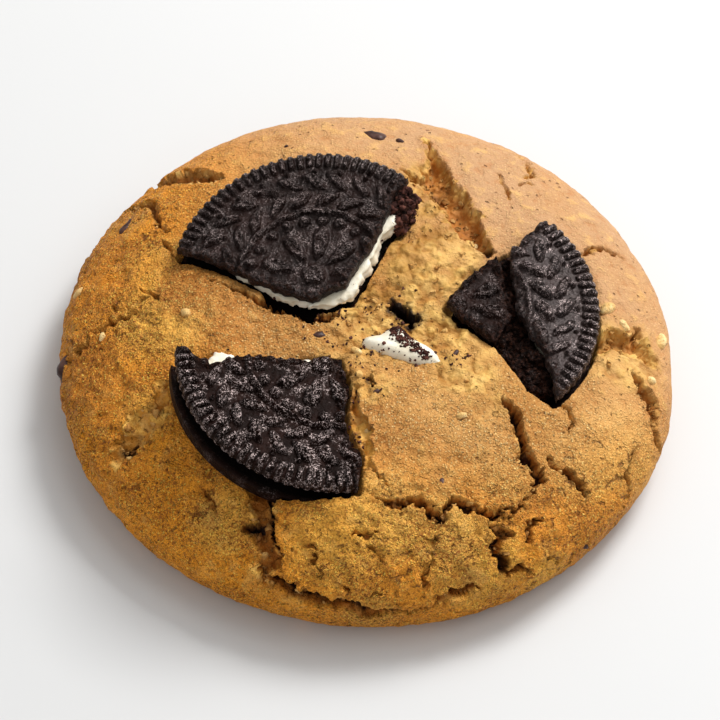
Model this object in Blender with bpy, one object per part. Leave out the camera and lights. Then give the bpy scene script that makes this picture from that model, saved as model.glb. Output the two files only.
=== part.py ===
"""A thick, round, cracked drop cookie with broken pieces of chocolate sandwich cookie baked into its top.

The origin is the middle of the flat face that the cookie rests on, and +Z is up. The dough is one solid with
a pocket for each piece. Each sandwich piece is a ribbed top wafer, a layer of cream and a base wafer, all
broken from round discs and laid in a frame of their own, which leans a little on the dome. Sizes are in
millimetres and are scaled to metres when a mesh is made.
"""
import math

import bpy
import bmesh
import numpy as np
from mathutils import Matrix, Vector
from mathutils.geometry import convex_hull_2d

METRES = 0.001          # metres in one millimetre of the sizes below
FIT_GAP = 0.3           # clearance between touching pieces

# Dough: a dome over a flat base, widest a little above the base and tucked in below that.
DOUGH_RADIUS = 47.7
DOUGH_OVAL = 0.65       # how much longer and shorter than round the outline is
DOUGH_OVAL_TURN = math.radians(-27)
DOUGH_HEIGHT = 20.0
WIDEST_AT = 6.5
TUCK_UNDER = 3.5
DOME_FULLNESS = 2.8     # above 2 the top is flatter and the shoulder rounder
DOUGH_RINGS = 30
TOP_STEPS = 400         # steps in which the profile is measured above and below its widest point
TUCK_STEPS = 60
SLOPE_STEPS = 120       # and in which its slope is read

# Sandwich wafer discs, before they were broken.
WAFER_RADIUS = 22.5
WAFER_THICKNESS = 2.35
RIB_COUNT = 90
RIB_LENGTH = 2.6
RIB_RISE = 0.3
RIM_TOOTH = 0.3
RIB_RAMP = 0.4          # how far a rib's ends take to rise and fall
VALLEY_DROP = 0.7       # how low the gap between two ribs starts on the rim
CREAM_RADIUS = 20.3
CREAM_THICKNESS = 2.2
CREAM_TOP = -(WAFER_THICKNESS + FIT_GAP)
BASE_TOP = CREAM_TOP - CREAM_THICKNESS - FIT_GAP
STACK_DEPTH = -BASE_TOP + WAFER_THICKNESS
POCKET_RISE = 14.0      # how far a pocket's cutter stands above its wafer
ARC_STEP = math.radians(4)
KEEPER_REACH = 1.2      # how far past the rim, in radii, the keeper of a broken wafer starts
KEEPER_FAR = 2.0        # and how far it goes at the middle of the kept arc
KEEPER_TURN = 0.5       # the turn, to each side, of its far corners

# Each sandwich piece: the middle of its wafer's top face, the way that face leans (the level part of its
# normal), and the outline of each layer. A layer's outline is an arc of the disc between two angles in
# degrees, then the broken edge from the arc's end back to its start, in the wafer's own plane. A fragment
# of a top wafer that kept none of the rim is broken edge all round.
SANDWICH_PIECES = {
    "back_left": {
        "middle": (-8.1, 4.4, 23.0),
        "lean": (-0.11, -0.10),
        "top_wafer": ((49, 163.5), [(-18.3, 5.2), (-14.2, 3.1), (-9.0, -0.1), (-4.3, -2.6), (-0.1, -4.1),
                                    (4.9, -1.4), (9.1, 5.5), (11.8, 11.2), (12.4, 14.5)]),
        "cream": ((52, 160), [(-14.3, 4.4), (-8.6, -0.9), (-4.8, -2.8), (-0.9, -5.2), (1.6, -4.9),
                              (5.2, -2.9), (7.4, -0.4), (11.3, 8.0), (12.9, 11.2), (12.6, 13.4)]),
        "base_wafer": ((52, 163), [(-18.0, 4.6), (-9.0, -1.2), (-4.3, -3.8), (-0.5, -5.6), (4.6, -3.0),
                                   (9.2, 3.4), (12.4, 10.6), (14.6, 13.0)]),
    },
    "front_left": {
        "middle": (-6.5, -11.2, 21.2),
        "lean": (0.205, 0.02),
        "top_wafer": ((178.5, 285), [(6.0, -15.4), (4.5, -14.5), (3.4, -9.3), (4.2, -3.5), (3.4, -0.8),
                                     (2.9, 1.6), (-2.0, 0.8), (-5.9, 0.2), (-9.4, 0.6), (-12.8, -0.1),
                                     (-17.3, -2.5), (-20.4, -0.7)]),
        "cream": ((182, 282), [(3.9, -14.0), (2.9, -9.0), (3.6, -3.5), (2.9, 2.2), (-3.0, 2.4),
                               (-12.0, 2.0), (-14.0, 2.4), (-16.0, 1.9), (-16.8, -0.4)]),
        "base_wafer": ((180, 284), [(5.0, -15.0), (3.8, -9.0), (4.0, -2.0), (2.0, 1.8), (-9.0, 1.6),
                                    (-17.0, 0.6)]),
    },
    "right": {
        "middle": (13.8, 0.2, 21.8),
        "lean": (0.10, -0.04),
        "rim_wafer": ((-47, 45), [(13.5, 15.8), (11.9, 13.8), (8.7, 10.1), (9.1, 5.4), (9.9, -0.9),
                                  (11.4, -3.8), (13.6, -7.3), (14.7, -11.8), (15.0, -14.8)]),
        "cream": ((-40, 44), [(12.6, 13.4), (8.2, 9.2), (4.6, 6.4), (1.0, 1.0), (2.2, -1.6),
                              (6.4, -5.2), (9.6, -6.4), (12.6, -8.6), (13.6, -12.0)]),
        "base_wafer": ((-48, 45), [(13.2, 15.6), (6.6, 9.6), (4.0, 7.2), (-0.4, 0.2), (4.1, -2.6),
                                   (5.9, -5.3), (7.4, -7.9), (10.0, -11.5), (11.4, -14.2), (13.2, -15.8)]),
        "fragment": [(-1.2, 0.4), (0.9, -2.1), (3.7, -4.3), (6.2, -6.3), (7.4, -4.1), (8.9, -1.2),
                     (8.2, 0.7), (7.6, 5.3), (7.1, 8.3), (6.5, 9.2), (5.0, 8.2), (3.1, 6.2), (0.7, 3.0)],
    },
}
FRAGMENT_DROP = 0.4     # the fragment lies this much below the rest of its wafer's face

# A loose sliver of cream lies in the sunken middle, a blunt wedge that narrows to one end.
SLIVER_FROM = (-0.2, -6.2, 19.5)
SLIVER_TO = (12.6, -10.0, 19.9)
SLIVER_WIDTH = 3.6
SLIVER_THICKNESS = 2.2
SLIVER_WIDEST_AT = 0.3  # share of the length
SLIVER_TAPER = 0.7      # share of the width that is lost at the narrow end
SLIVER_SECTIONS = 7
SLIVER_SIDES = 10

# Chocolate chips sunk in the dough: the place over the dome, and the radius, of each flattened drop.
CHIPS = {
    "chip_left": ((-50.5, -3.4), 3.6),
    "chip_back_left": ((-37.5, 23.5), 3.2),
    "chip_back": ((1.0, 38.0), 3.2),
}
CHIP_FLATNESS = 0.8
CHIP_TIP = 0.15         # how far, in radii, the drop's tip stands up
CHIP_PROUD = 0.7        # how far it stands out of the crust
CHIP_RINGS = 7
CHIP_SIDES = 14

# The dome's broad mounds and hollows: middle, spread and height.
SWELLS = [
    ((-9.0, 33.0), 8.0, 1.8),       # behind the back left piece
    ((9.0, 12.0), 7.0, 1.0),        # ridge between the back fissure and the middle
    ((11.0, -24.0), 10.0, 1.2),     # the smooth plate in front of the middle
    ((-24.0, -2.0), 7.0, 0.8),      # the fold between the two left pieces
    ((37.0, -14.0), 7.0, 0.8),      # the plate right of the right piece
    ((5.0, -2.0), 6.0, -1.6),       # the sunken middle
    ((-28.0, -24.0), 6.0, -1.2),    # the slump beside the front left piece
    ((22.0, 12.0), 5.0, -0.8),      # the end of the back fissure
]

# The wide cracks and torn hollows: route over the dome, width and depth. A route is in plan, with its
# distances from the middle measured along the dome, so that it can run on down the side.
CRACK_STEEPNESS = 0.8   # below 1 the walls are steeper near the bottom
CRACKS = [
    # back fissure and its left branch
    ([(9.5, 39.0), (11.0, 31.0), (13.5, 22.0), (19.0, 12.5)], 6.0, 3.2),
    ([(6.0, 30.0), (12.0, 25.5)], 4.0, 1.8),
    # hole in the middle
    ([(3.5, 1.5), (7.5, -1.5)], 4.4, 3.5),
    # front right crack, down from the right piece, and its branch
    ([(21.5, -17.0), (23.0, -23.0), (25.5, -28.0), (25.0, -32.0)], 4.4, 3.4),
    ([(27.0, -25.0), (33.5, -30.5)], 4.0, 2.2),
    # crack across the front
    ([(1.0, -33.8), (7.0, -34.0), (11.0, -36.4), (15.0, -33.8), (20.0, -35.2), (25.0, -32.0)], 4.0, 2.6),
    # crack below the front left piece, and the one along the front edge that it runs into
    ([(-16.0, -32.0), (-16.0, -38.0), (-15.0, -43.0), (-16.5, -46.0)], 6.0, 3.2),
    ([(-15.0, -46.0), (-9.0, -49.0), (0.5, -51.5), (8.0, -51.0), (14.5, -48.0), (18.0, -46.0)], 4.2, 2.4),
    # torn hole, front right
    ([(19.5, -37.0), (20.5, -40.5), (24.5, -43.0)], 4.4, 2.4),
    # torn hollow at the right edge, and the crack down from it
    ([(36.0, -4.0), (40.0, -2.6), (44.5, -4.0)], 6.0, 2.8),
    ([(41.0, -9.0), (44.5, -12.5), (46.5, -18.0)], 4.4, 2.4),
    # slanting crack, left
    ([(-48.0, -3.5), (-43.0, -1.0), (-36.5, 1.5)], 4.0, 1.8),
    # notch under the back left flap, and the crack beside it
    ([(-36.5, 33.0), (-31.0, 31.0), (-24.0, 28.5)], 5.6, 3.2),
    ([(-37.5, 27.0), (-33.5, 24.0), (-32.0, 19.0)], 4.0, 2.2),
    # torn hollow, left
    ([(-31.0, -13.0), (-33.0, -18.0), (-38.0, -22.5), (-39.5, -24.0)], 5.6, 2.8),
    # gap right of the front left piece
    ([(-2.0, -11.0), (-1.4, -18.0), (0.2, -25.5), (2.6, -31.5)], 4.4, 2.8),
]


def clear_scene():
    """Remove every object of the open scene."""
    for thing in list(bpy.data.objects):
        bpy.data.objects.remove(thing, do_unlink=True)


def make_material(name, colour, roughness):
    """Return a plain Principled material."""
    material = bpy.data.materials.new(name)
    material.use_nodes = True
    shader = material.node_tree.nodes["Principled BSDF"]
    shader.inputs["Base Color"].default_value = (*colour, 1.0)
    shader.inputs["Roughness"].default_value = roughness
    shader.inputs["Metallic"].default_value = 0.0
    return material


def make_object(name, vertices, faces, material, frame=Matrix.Identity(4)):
    """Return an object whose vertices are given in millimetres in the given frame."""
    mesh = bpy.data.meshes.new(name)
    mesh.from_pydata([[value * METRES for value in vertex] for vertex in vertices], [], faces)
    mesh.validate()
    thing = bpy.data.objects.new(name, mesh)
    thing.matrix_world = frame
    bpy.context.scene.collection.objects.link(thing)
    point_faces_outward(mesh)
    if material is not None:
        mesh.materials.append(material)
    return thing


def point_faces_outward(mesh):
    """Make every face of a closed mesh look outward."""
    editable = bmesh.new()
    editable.from_mesh(mesh)
    bmesh.ops.recalc_face_normals(editable, faces=editable.faces)
    editable.to_mesh(mesh)
    editable.free()


def boolean(thing, other, operation):
    """Cut or keep a piece with a closed tool that stays in the scene as a guide."""
    modifier = thing.modifiers.new(operation.title(), "BOOLEAN")
    modifier.operation = operation
    modifier.object = other
    other.hide_render = True
    other.display_type = "WIRE"


# Dough -----------------------------------------------------------------------------------------------------

def dome_profile():
    """Return radius, height and length along the profile from the top's middle to the base's edge."""
    turn = np.linspace(0.0, math.pi / 2, TOP_STEPS)
    top_radius = DOUGH_RADIUS * np.sin(turn) ** (2 / DOME_FULLNESS)
    top_height = WIDEST_AT + (DOUGH_HEIGHT - WIDEST_AT) * np.cos(turn)
    fall = np.linspace(0.0, 1.0, TUCK_STEPS)[1:]
    low_radius = DOUGH_RADIUS - TUCK_UNDER * (1 - np.sqrt(1 - fall ** 2))
    low_height = WIDEST_AT * (1 - fall)
    radius = np.concatenate([top_radius, low_radius])
    height = np.concatenate([top_height, low_height])
    length = np.concatenate([[0.0], np.cumsum(np.hypot(np.diff(radius), np.diff(height)))])
    return radius, height, length


PROFILE_RADIUS, PROFILE_HEIGHT, PROFILE_LENGTH = dome_profile()


def dome_point(along, angle):
    """Return points of the smooth dome, a distance along it from the middle and in a direction."""
    oval = 1 + DOUGH_OVAL / DOUGH_RADIUS * np.cos(2 * (angle - DOUGH_OVAL_TURN))
    radius = np.interp(along, PROFILE_LENGTH, PROFILE_RADIUS) * oval
    height = np.interp(along, PROFILE_LENGTH, PROFILE_HEIGHT)
    return np.stack([radius * np.cos(angle), radius * np.sin(angle), height], axis=-1)


def dome_outward(along, angle):
    """Return the smooth dome's outward directions at those points."""
    step = PROFILE_LENGTH[-1] / SLOPE_STEPS
    after = dome_point(np.minimum(along + step, PROFILE_LENGTH[-1]), angle)
    slope = after - dome_point(np.maximum(along - step, 0.0), angle)
    rise = np.hypot(slope[..., 0], slope[..., 1])
    outward = np.stack([-slope[..., 2] * np.cos(angle), -slope[..., 2] * np.sin(angle), rise], axis=-1)
    return outward / np.linalg.norm(outward, axis=-1, keepdims=True)


def distance_to_route(points, route):
    """Return the distance of plan points from a polyline."""
    nearest = np.full(len(points), np.inf)
    for start, end in zip(route[:-1], route[1:]):
        start = np.array(start)
        step = np.array(end) - start
        share = np.clip((points - start) @ step / (step @ step), 0.0, 1.0)
        nearest = np.minimum(nearest, np.linalg.norm(points - start - share[:, None] * step, axis=1))
    return nearest


def dome_relief(plan):
    """Return how far the crust stands out from the smooth dome at plan points."""
    relief = np.zeros(len(plan))
    for middle, spread, height in SWELLS:
        relief += height * np.exp(-np.sum((plan - np.array(middle)) ** 2, axis=1) / (2 * spread ** 2))
    groove = np.zeros(len(plan))
    for route, width, depth in CRACKS:
        reach = np.clip(1 - distance_to_route(plan, route) / (width / 2), 0.0, 1.0)
        groove = np.maximum(groove, depth * reach ** CRACK_STEEPNESS)
    return relief - groove


def make_dough(material):
    """Return the dough's closed solid: rings of points over the dome, and one flat face below."""
    full_length = PROFILE_LENGTH[-1]
    along = [0.0]
    angle = [0.0]
    for ring in range(1, DOUGH_RINGS + 1):
        for step in range(6 * ring):
            along.append(full_length * ring / DOUGH_RINGS)
            angle.append(2 * math.pi * step / (6 * ring))
    along = np.array(along)
    angle = np.array(angle)
    plan = np.stack([along * np.cos(angle), along * np.sin(angle)], axis=1)
    fade = np.clip((full_length - along) / WIDEST_AT, 0.0, 1.0)
    points = dome_point(along, angle) + dome_outward(along, angle) * (dome_relief(plan) * fade)[:, None]
    points[:, 2] = np.maximum(points[:, 2], 0.0)
    points[along >= full_length, 2] = 0.0

    def index(ring, step):
        if ring == 0:
            return 0
        return 1 + 3 * ring * (ring - 1) + step % (6 * ring)

    faces = []
    for ring in range(1, DOUGH_RINGS + 1):
        for side in range(6):
            for step in range(ring):
                outer = side * ring + step
                inner = side * (ring - 1) + step
                faces.append((index(ring, outer), index(ring, outer + 1), index(ring - 1, inner)))
                if step < ring - 1:
                    faces.append((index(ring, outer + 1), index(ring - 1, inner + 1), index(ring - 1, inner)))
    faces.append([index(DOUGH_RINGS, step) for step in range(6 * DOUGH_RINGS)][::-1])
    return make_object("dough", points.tolist(), faces, material)


# Sandwich pieces -------------------------------------------------------------------------------------------

def piece_frame(middle, lean):
    """Return the frame of a piece whose face's normal has the given level part."""
    normal = Vector((lean[0], lean[1], math.sqrt(1 - lean[0] ** 2 - lean[1] ** 2)))
    across = (Vector((1, 0, 0)) - normal * normal.x).normalized()
    beyond = normal.cross(across)
    frame = Matrix((across, beyond, normal)).transposed().to_4x4()
    frame.translation = Vector(middle) * METRES
    return frame


def broken_outline(arc, broken_edge, radius):
    """Return a layer's outline: its arc of the disc, then its broken edge."""
    start, end = (math.radians(value) for value in arc)
    steps = max(2, math.ceil((end - start) / ARC_STEP))
    turns = [start + (end - start) * step / steps for step in range(steps + 1)]
    return [(radius * math.cos(turn), radius * math.sin(turn)) for turn in turns] + list(broken_edge)


def pocket_outline(corners):
    """Return the convex outline round a piece's corners, grown by the fitting gap."""
    hull = []
    for index in convex_hull_2d(corners):
        corner = Vector(corners[index])
        if all((corner - other).length > FIT_GAP for other in hull):
            hull.append(corner)
    area = sum(one.x * two.y - two.x * one.y for one, two in zip(hull, hull[1:] + hull[:1]))
    if area < 0:
        hull.reverse()
    grown = []
    for before, corner, after in zip(hull[-1:] + hull[:-1], hull, hull[1:] + hull[:1]):
        into = (corner - before).normalized()
        out_of = (after - corner).normalized()
        side = Vector((into.y + out_of.y, -into.x - out_of.x)).normalized()
        grown.append(tuple(corner + side * FIT_GAP / side.dot(Vector((into.y, -into.x)))))
    return grown


def prism(name, outline, bottom, top, frame, material=None):
    """Return a closed prism over an outline, between two heights of a frame."""
    count = len(outline)
    vertices = [(x, y, bottom) for x, y in outline] + [(x, y, top) for x, y in outline]
    faces = [tuple(range(count))[::-1], tuple(range(count, 2 * count))]
    for corner in range(count):
        following = (corner + 1) % count
        faces.append((corner, following, count + following, count + corner))
    return make_object(name, vertices, faces, material, frame)


def ribbed_disc(name, top, frame, material):
    """Return a whole wafer with ribs round its rim, its face at the given height of a frame."""
    points_round = 2 * RIB_COUNT
    rings = [
        (WAFER_RADIUS - RIB_LENGTH, 0.0, 0.0, 0.0),
        (WAFER_RADIUS - RIB_LENGTH + RIB_RAMP, RIB_RISE, 0.0, -RIB_RISE),
        (WAFER_RADIUS - RIB_RAMP, RIB_RISE, 0.0, -RIB_RISE),
        (WAFER_RADIUS, -RIB_RAMP, RIM_TOOTH, -VALLEY_DROP),
        (WAFER_RADIUS, -WAFER_THICKNESS, RIM_TOOTH, -WAFER_THICKNESS),
    ]
    vertices = []
    for radius, crest_height, tooth, valley_height in rings:
        for point in range(points_round):
            angle = math.pi * point / RIB_COUNT
            crest = point % 2 == 0
            reach = radius if crest else radius - tooth
            height = top + (crest_height if crest else valley_height)
            vertices.append((reach * math.cos(angle), reach * math.sin(angle), height))
    faces = [tuple(range(points_round))[::-1]]
    for ring in range(len(rings) - 1):
        for point in range(points_round):
            following = (point + 1) % points_round
            faces.append((ring * points_round + point, (ring + 1) * points_round + point,
                          (ring + 1) * points_round + following, ring * points_round + following))
    last = (len(rings) - 1) * points_round
    faces.append(tuple(range(last, last + points_round)))
    return make_object(name, vertices, faces, material, frame)


def broken_wafer(name, arc, broken_edge, frame, material):
    """Return a ribbed wafer kept only inside its broken outline."""
    wafer = ribbed_disc(name, 0.0, frame, material)
    outline = broken_outline(arc, broken_edge, WAFER_RADIUS)
    arc_start = Vector(outline[0])
    arc_end = Vector(outline[len(outline) - len(broken_edge) - 1])
    kept = [tuple(arc_start * KEEPER_REACH)]
    far = KEEPER_FAR * WAFER_RADIUS
    for turn in (-KEEPER_TURN, KEEPER_TURN):
        angle = math.radians(sum(arc) / 2) + turn
        kept.append((far * math.cos(angle), far * math.sin(angle)))
    kept += [tuple(arc_end * KEEPER_REACH), tuple(arc_end), *broken_edge, tuple(arc_start)]
    keeper = prism(name + "_break", kept, -2 * WAFER_THICKNESS, 2 * WAFER_THICKNESS, frame)
    boolean(wafer, keeper, "INTERSECT")
    return wafer


def make_sandwich_piece(place, piece, dough, materials):
    """Lay one sandwich piece in its frame and cut its pocket in the dough."""
    frame = piece_frame(piece["middle"], piece["lean"])
    for layer in ("top_wafer", "rim_wafer"):
        if layer in piece:
            broken_wafer(f"{place}_{layer}", *piece[layer], frame, materials["wafer"])
    prism(f"{place}_cream", broken_outline(*piece["cream"], CREAM_RADIUS),
          CREAM_TOP - CREAM_THICKNESS, CREAM_TOP, frame, materials["cream"])
    prism(f"{place}_base_wafer", broken_outline(*piece["base_wafer"], WAFER_RADIUS),
          BASE_TOP - WAFER_THICKNESS, BASE_TOP, frame, materials["wafer"])
    corners = list(piece.get("fragment", []))
    for layer in ("top_wafer", "rim_wafer", "cream", "base_wafer"):
        if layer in piece:
            corners += broken_outline(*piece[layer], CREAM_RADIUS if layer == "cream" else WAFER_RADIUS)
    if "fragment" in piece:
        prism(place + "_inner_wafer", piece["fragment"], -WAFER_THICKNESS, -FRAGMENT_DROP, frame,
              materials["wafer"])
    cutter = prism(place + "_pocket", pocket_outline(corners), -STACK_DEPTH - FIT_GAP, POCKET_RISE, frame)
    boolean(dough, cutter, "DIFFERENCE")


# Cream sliver and chips ------------------------------------------------------------------------------------

def sliver_solid(name, grow, material=None):
    """Return the sliver of cream as rings of a flattened round section along its length."""
    start = Vector(SLIVER_FROM)
    along = Vector(SLIVER_TO) - start
    across = Vector((-along.y, along.x, 0.0)).normalized()
    vertices = []
    for section in range(SLIVER_SECTIONS):
        share = section / (SLIVER_SECTIONS - 1)
        middle = start + along * share + along.normalized() * grow * (2 * share - 1)
        taper = 1 - SLIVER_TAPER * ((share - SLIVER_WIDEST_AT) / (1 - SLIVER_WIDEST_AT)) ** 2
        half_width = SLIVER_WIDTH / 2 * taper + grow
        half_thickness = SLIVER_THICKNESS / 2 * math.sqrt(taper) + grow
        for side in range(SLIVER_SIDES):
            turn = 2 * math.pi * side / SLIVER_SIDES
            up = Vector((0.0, 0.0, half_thickness * math.sin(turn)))
            vertices.append(tuple(middle + across * half_width * math.cos(turn) + up))
    faces = [tuple(range(SLIVER_SIDES))]
    for section in range(SLIVER_SECTIONS - 1):
        for side in range(SLIVER_SIDES):
            following = (side + 1) % SLIVER_SIDES
            low = section * SLIVER_SIDES
            high = low + SLIVER_SIDES
            faces.append((low + side, high + side, high + following, low + following))
    last = (SLIVER_SECTIONS - 1) * SLIVER_SIDES
    faces.append(tuple(range(last, last + SLIVER_SIDES))[::-1])
    return make_object(name, vertices, faces, material)


def chip_frame(place, radius):
    """Return the frame of a chip: sunk below its place over the dome, with its tip outward."""
    along = math.hypot(*place)
    angle = math.atan2(place[1], place[0])
    outward = Vector(dome_outward(along, angle))
    crust = dome_relief(np.array([place]))[0]
    depth = radius * (CHIP_FLATNESS + CHIP_TIP) - CHIP_PROUD - crust
    frame = outward.to_track_quat("Z", "Y").to_matrix().to_4x4()
    frame.translation = (Vector(dome_point(along, angle)) - outward * depth) * METRES
    return frame


def chip_solid(name, frame, radius, material=None):
    """Return a flattened chocolate drop, a turned solid whose tip points up in its frame."""
    vertices = [(0.0, 0.0, radius * (CHIP_FLATNESS + CHIP_TIP))]
    for ring in range(1, CHIP_RINGS):
        turn = math.pi * ring / CHIP_RINGS
        reach = radius * math.sin(turn)
        height = radius * (CHIP_FLATNESS * math.cos(turn) + CHIP_TIP * max(0.0, math.cos(turn)) ** 4)
        for side in range(CHIP_SIDES):
            angle = 2 * math.pi * side / CHIP_SIDES
            vertices.append((reach * math.cos(angle), reach * math.sin(angle), height))
    vertices.append((0.0, 0.0, -radius * CHIP_FLATNESS))
    bottom = len(vertices) - 1
    faces = []
    for side in range(CHIP_SIDES):
        following = (side + 1) % CHIP_SIDES
        faces.append((0, 1 + side, 1 + following))
        faces.append((bottom, bottom - CHIP_SIDES + following, bottom - CHIP_SIDES + side))
        for ring in range(CHIP_RINGS - 2):
            upper = 1 + ring * CHIP_SIDES
            lower = upper + CHIP_SIDES
            faces.append((upper + side, lower + side, lower + following, upper + following))
    return make_object(name, vertices, faces, material, frame)


def main():
    clear_scene()
    materials = {
        "dough": make_material("baked_dough", (0.52, 0.27, 0.08), 0.85),
        "wafer": make_material("dark_wafer", (0.018, 0.012, 0.010), 0.5),
        "cream": make_material("white_cream", (0.82, 0.78, 0.68), 0.5),
        "chip": make_material("dark_chocolate", (0.045, 0.018, 0.012), 0.35),
    }
    dough = make_dough(materials["dough"])
    for place, piece in SANDWICH_PIECES.items():
        make_sandwich_piece(place, piece, dough, materials)
    sliver_solid("cream_sliver", 0.0, materials["cream"])
    boolean(dough, sliver_solid("cream_sliver_bed", FIT_GAP), "DIFFERENCE")
    for name, (place, radius) in CHIPS.items():
        frame = chip_frame(place, radius)
        chip_solid(name, frame, radius, materials["chip"])
        boolean(dough, chip_solid(name + "_bed", frame, radius + FIT_GAP), "DIFFERENCE")


main()
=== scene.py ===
"""Looks of a thick, cracked drop cookie with broken chocolate sandwich cookie pieces baked into its top.

Lengths are in millimetres, in the part's own frame, and become metres when a mesh is made.
"""
import math

import bpy
import numpy as np
from mathutils import Matrix, Vector
from mathutils.geometry import delaunay_2d_cdt


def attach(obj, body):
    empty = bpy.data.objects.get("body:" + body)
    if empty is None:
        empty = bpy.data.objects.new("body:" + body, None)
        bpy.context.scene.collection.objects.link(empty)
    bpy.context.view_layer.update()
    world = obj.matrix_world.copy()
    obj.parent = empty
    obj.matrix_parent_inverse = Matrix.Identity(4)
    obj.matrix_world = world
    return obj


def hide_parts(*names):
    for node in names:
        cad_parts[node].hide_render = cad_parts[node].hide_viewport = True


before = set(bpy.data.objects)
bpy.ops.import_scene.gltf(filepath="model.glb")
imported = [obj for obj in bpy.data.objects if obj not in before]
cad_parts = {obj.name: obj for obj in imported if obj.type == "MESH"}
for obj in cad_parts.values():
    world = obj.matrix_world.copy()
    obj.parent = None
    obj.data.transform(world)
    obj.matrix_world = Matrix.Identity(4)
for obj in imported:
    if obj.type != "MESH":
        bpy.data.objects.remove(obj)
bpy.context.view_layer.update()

# Dough ----------------------------------------------------------------------------------------------------
# The cookie itself: a scooped ball of dough that slumped into a thick dome as it baked. Its thin crust set
# first and tore as the inside rose, so that wide cracks show the paler, coarse crumb. It is one closed skin
# over the same dome as the solid, with a pocket pressed in wherever a sandwich piece lies.
METRES = 0.001
DOUGH_RADIUS = 47.7
DOUGH_OVAL = 0.65
DOUGH_OVAL_TURN = math.radians(-27)
DOUGH_HEIGHT = 20.0
WIDEST_AT = 6.5
TUCK_UNDER = 3.5
DOME_FULLNESS = 2.8
CRUST_SPACING = 0.48    # between the crust's points, halved along its cracks
FINE_REACH = 0.72       # how far from a crack's edge the finer points reach
TUCKED_FROM = 57.0      # length along the dome where it tucks under and the points thin out
BASE_CORNERS = 460
SKIN_REACH = (47.0, 45.8)    # across and along, past which the skin's lumps are pressed back
SKIN_PRESS = 0.2             # of the square of what is past it
CLOD_SHIFT = 0.4             # how far the crumbly parts' small clods stray from the smooth dome

WAFER_RADIUS = 22.5
WAFER_THICKNESS = 2.35
CREAM_RADIUS = 20.3
CREAM_THICKNESS = 2.2
FIT_GAP = 0.3
CREAM_TOP = -(WAFER_THICKNESS + FIT_GAP)
BASE_TOP = CREAM_TOP - CREAM_THICKNESS - FIT_GAP
STACK_DEPTH = -BASE_TOP + WAFER_THICKNESS
POCKET_REACH = 4.0      # past a wafer's rim, within which the crust is looked at for its pocket
POCKET_DEPTH = STACK_DEPTH + 0.4
ROLLED_EDGE = 0.55      # how far the crust sinks as it rolls into a pocket

# Each sandwich piece: its middle, its lean, and each layer's arc of the disc and broken edge.
SANDWICH_PIECES = {
    "back_left": {
        "middle": (-8.1, 4.4, 23), "lean": (-0.11, -0.1),
        "top_wafer": ((49, 163.5), [(-18.3, 5.2), (-14.2, 3.1), (-9, -0.1), (-4.3, -2.6), (-0.1, -4.1),
            (4.9, -1.4), (9.1, 5.5), (11.8, 11.2), (12.4, 14.5)]),
        "cream": ((52, 160), [(-14.3, 4.8), (-8.4, -0.2), (-4.6, -2.2), (-0.9, -4.5), (1.6, -4.6),
            (5.4, -2.9), (7.2, 0.2), (9.4, 4.8), (11.2, 8.4), (13, 10), (12.8, 12.2)]),
        "base_wafer": ((52, 163), [(-18, 4.6), (-9, -1.2), (-4.3, -3.8), (-0.5, -5.6), (4.6, -3),
            (9.2, 3.4), (12.4, 10.6), (14.6, 13)]),
    },
    "front_left": {
        "middle": (-6.5, -11.2, 21.2), "lean": (0.205, 0.02),
        "top_wafer": ((178.5, 285), [(6, -15.4), (4.5, -14.5), (3.4, -9.3), (4.2, -3.5), (3.4, -0.8),
            (2.9, 1.6), (-2, 0.8), (-5.9, 0.2), (-9.4, 0.6), (-12.8, -0.1), (-17.3, -2.5), (-20.4, -0.7)]),
        "cream": ((182, 282), [(3.9, -14), (2.9, -9), (3.2, -3.5), (2.4, 0.6), (-0.8, 2), (-2.8, 1.9),
            (-4.6, 0.2), (-12.4, 0), (-13.8, 1.6), (-16.2, 1.9), (-17.2, -0.2)]),
        "base_wafer": ((180, 284), [(5, -15), (3.8, -9), (3.6, -2), (2, 0.2), (-9, 0), (-17, -0.4)]),
    },
    "right": {
        "middle": (13.8, 0.2, 21.8), "lean": (0.1, -0.04),
        "rim_wafer": ((-47, 45), [(13.5, 15.8), (11.9, 13.8), (8.7, 10.1), (9.1, 5.4), (9.9, -0.9),
            (11.4, -3.8), (13.6, -7.3), (14.7, -11.8), (15, -14.8)]),
        "cream": ((-38, 42), [(12.8, 12.6), (10.4, 8.6), (10.4, 3.4), (11.2, -1.2), (12.8, -4.6),
            (14.6, -8), (15.2, -10.8)]),
        "base_wafer": ((-48, 45), [(13.2, 15.6), (6.6, 9.6), (4, 7.2), (-0.4, 0.2), (4.1, -2.6),
            (5.9, -5.3), (7.4, -7.9), (10, -11.5), (11.4, -14.2), (13.2, -15.8)]),
        "inner_wafer": (None, [(-1.2, 0.4), (0.9, -2.1), (3.7, -4.3), (6.2, -6.3), (7.4, -4.1), (8.9, -1.2),
            (8.2, 0.7), (7.6, 5.3), (7.1, 8.3), (6.5, 9.2), (5, 8.2), (3.1, 6.2), (0.7, 3)]),
    },
}
LAYER_RADIUS = {"top_wafer": WAFER_RADIUS, "rim_wafer": WAFER_RADIUS, "cream": CREAM_RADIUS,
                "base_wafer": WAFER_RADIUS, "inner_wafer": WAFER_RADIUS}

# The dome's broad mounds and hollows: middle, spread and height.
SWELLS = [((-9, 33), 8, 1.8), ((9, 12), 7, 1), ((11, -24), 10, 1.2), ((-24, -2), 7, 0.8),
          ((37, -14), 7, 0.8), ((5, -2), 6, -1.6), ((-28, -24), 6, -1.2), ((22, 12), 5, -0.8),
          ((9.5, 26), 4, -0.9), ((17, 27), 4, 0.7), ((-16, -3), 4.5, -0.9), ((-4, -35), 4, 2),
          ((-11.5, -34.5), 3, 1.6)]

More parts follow.
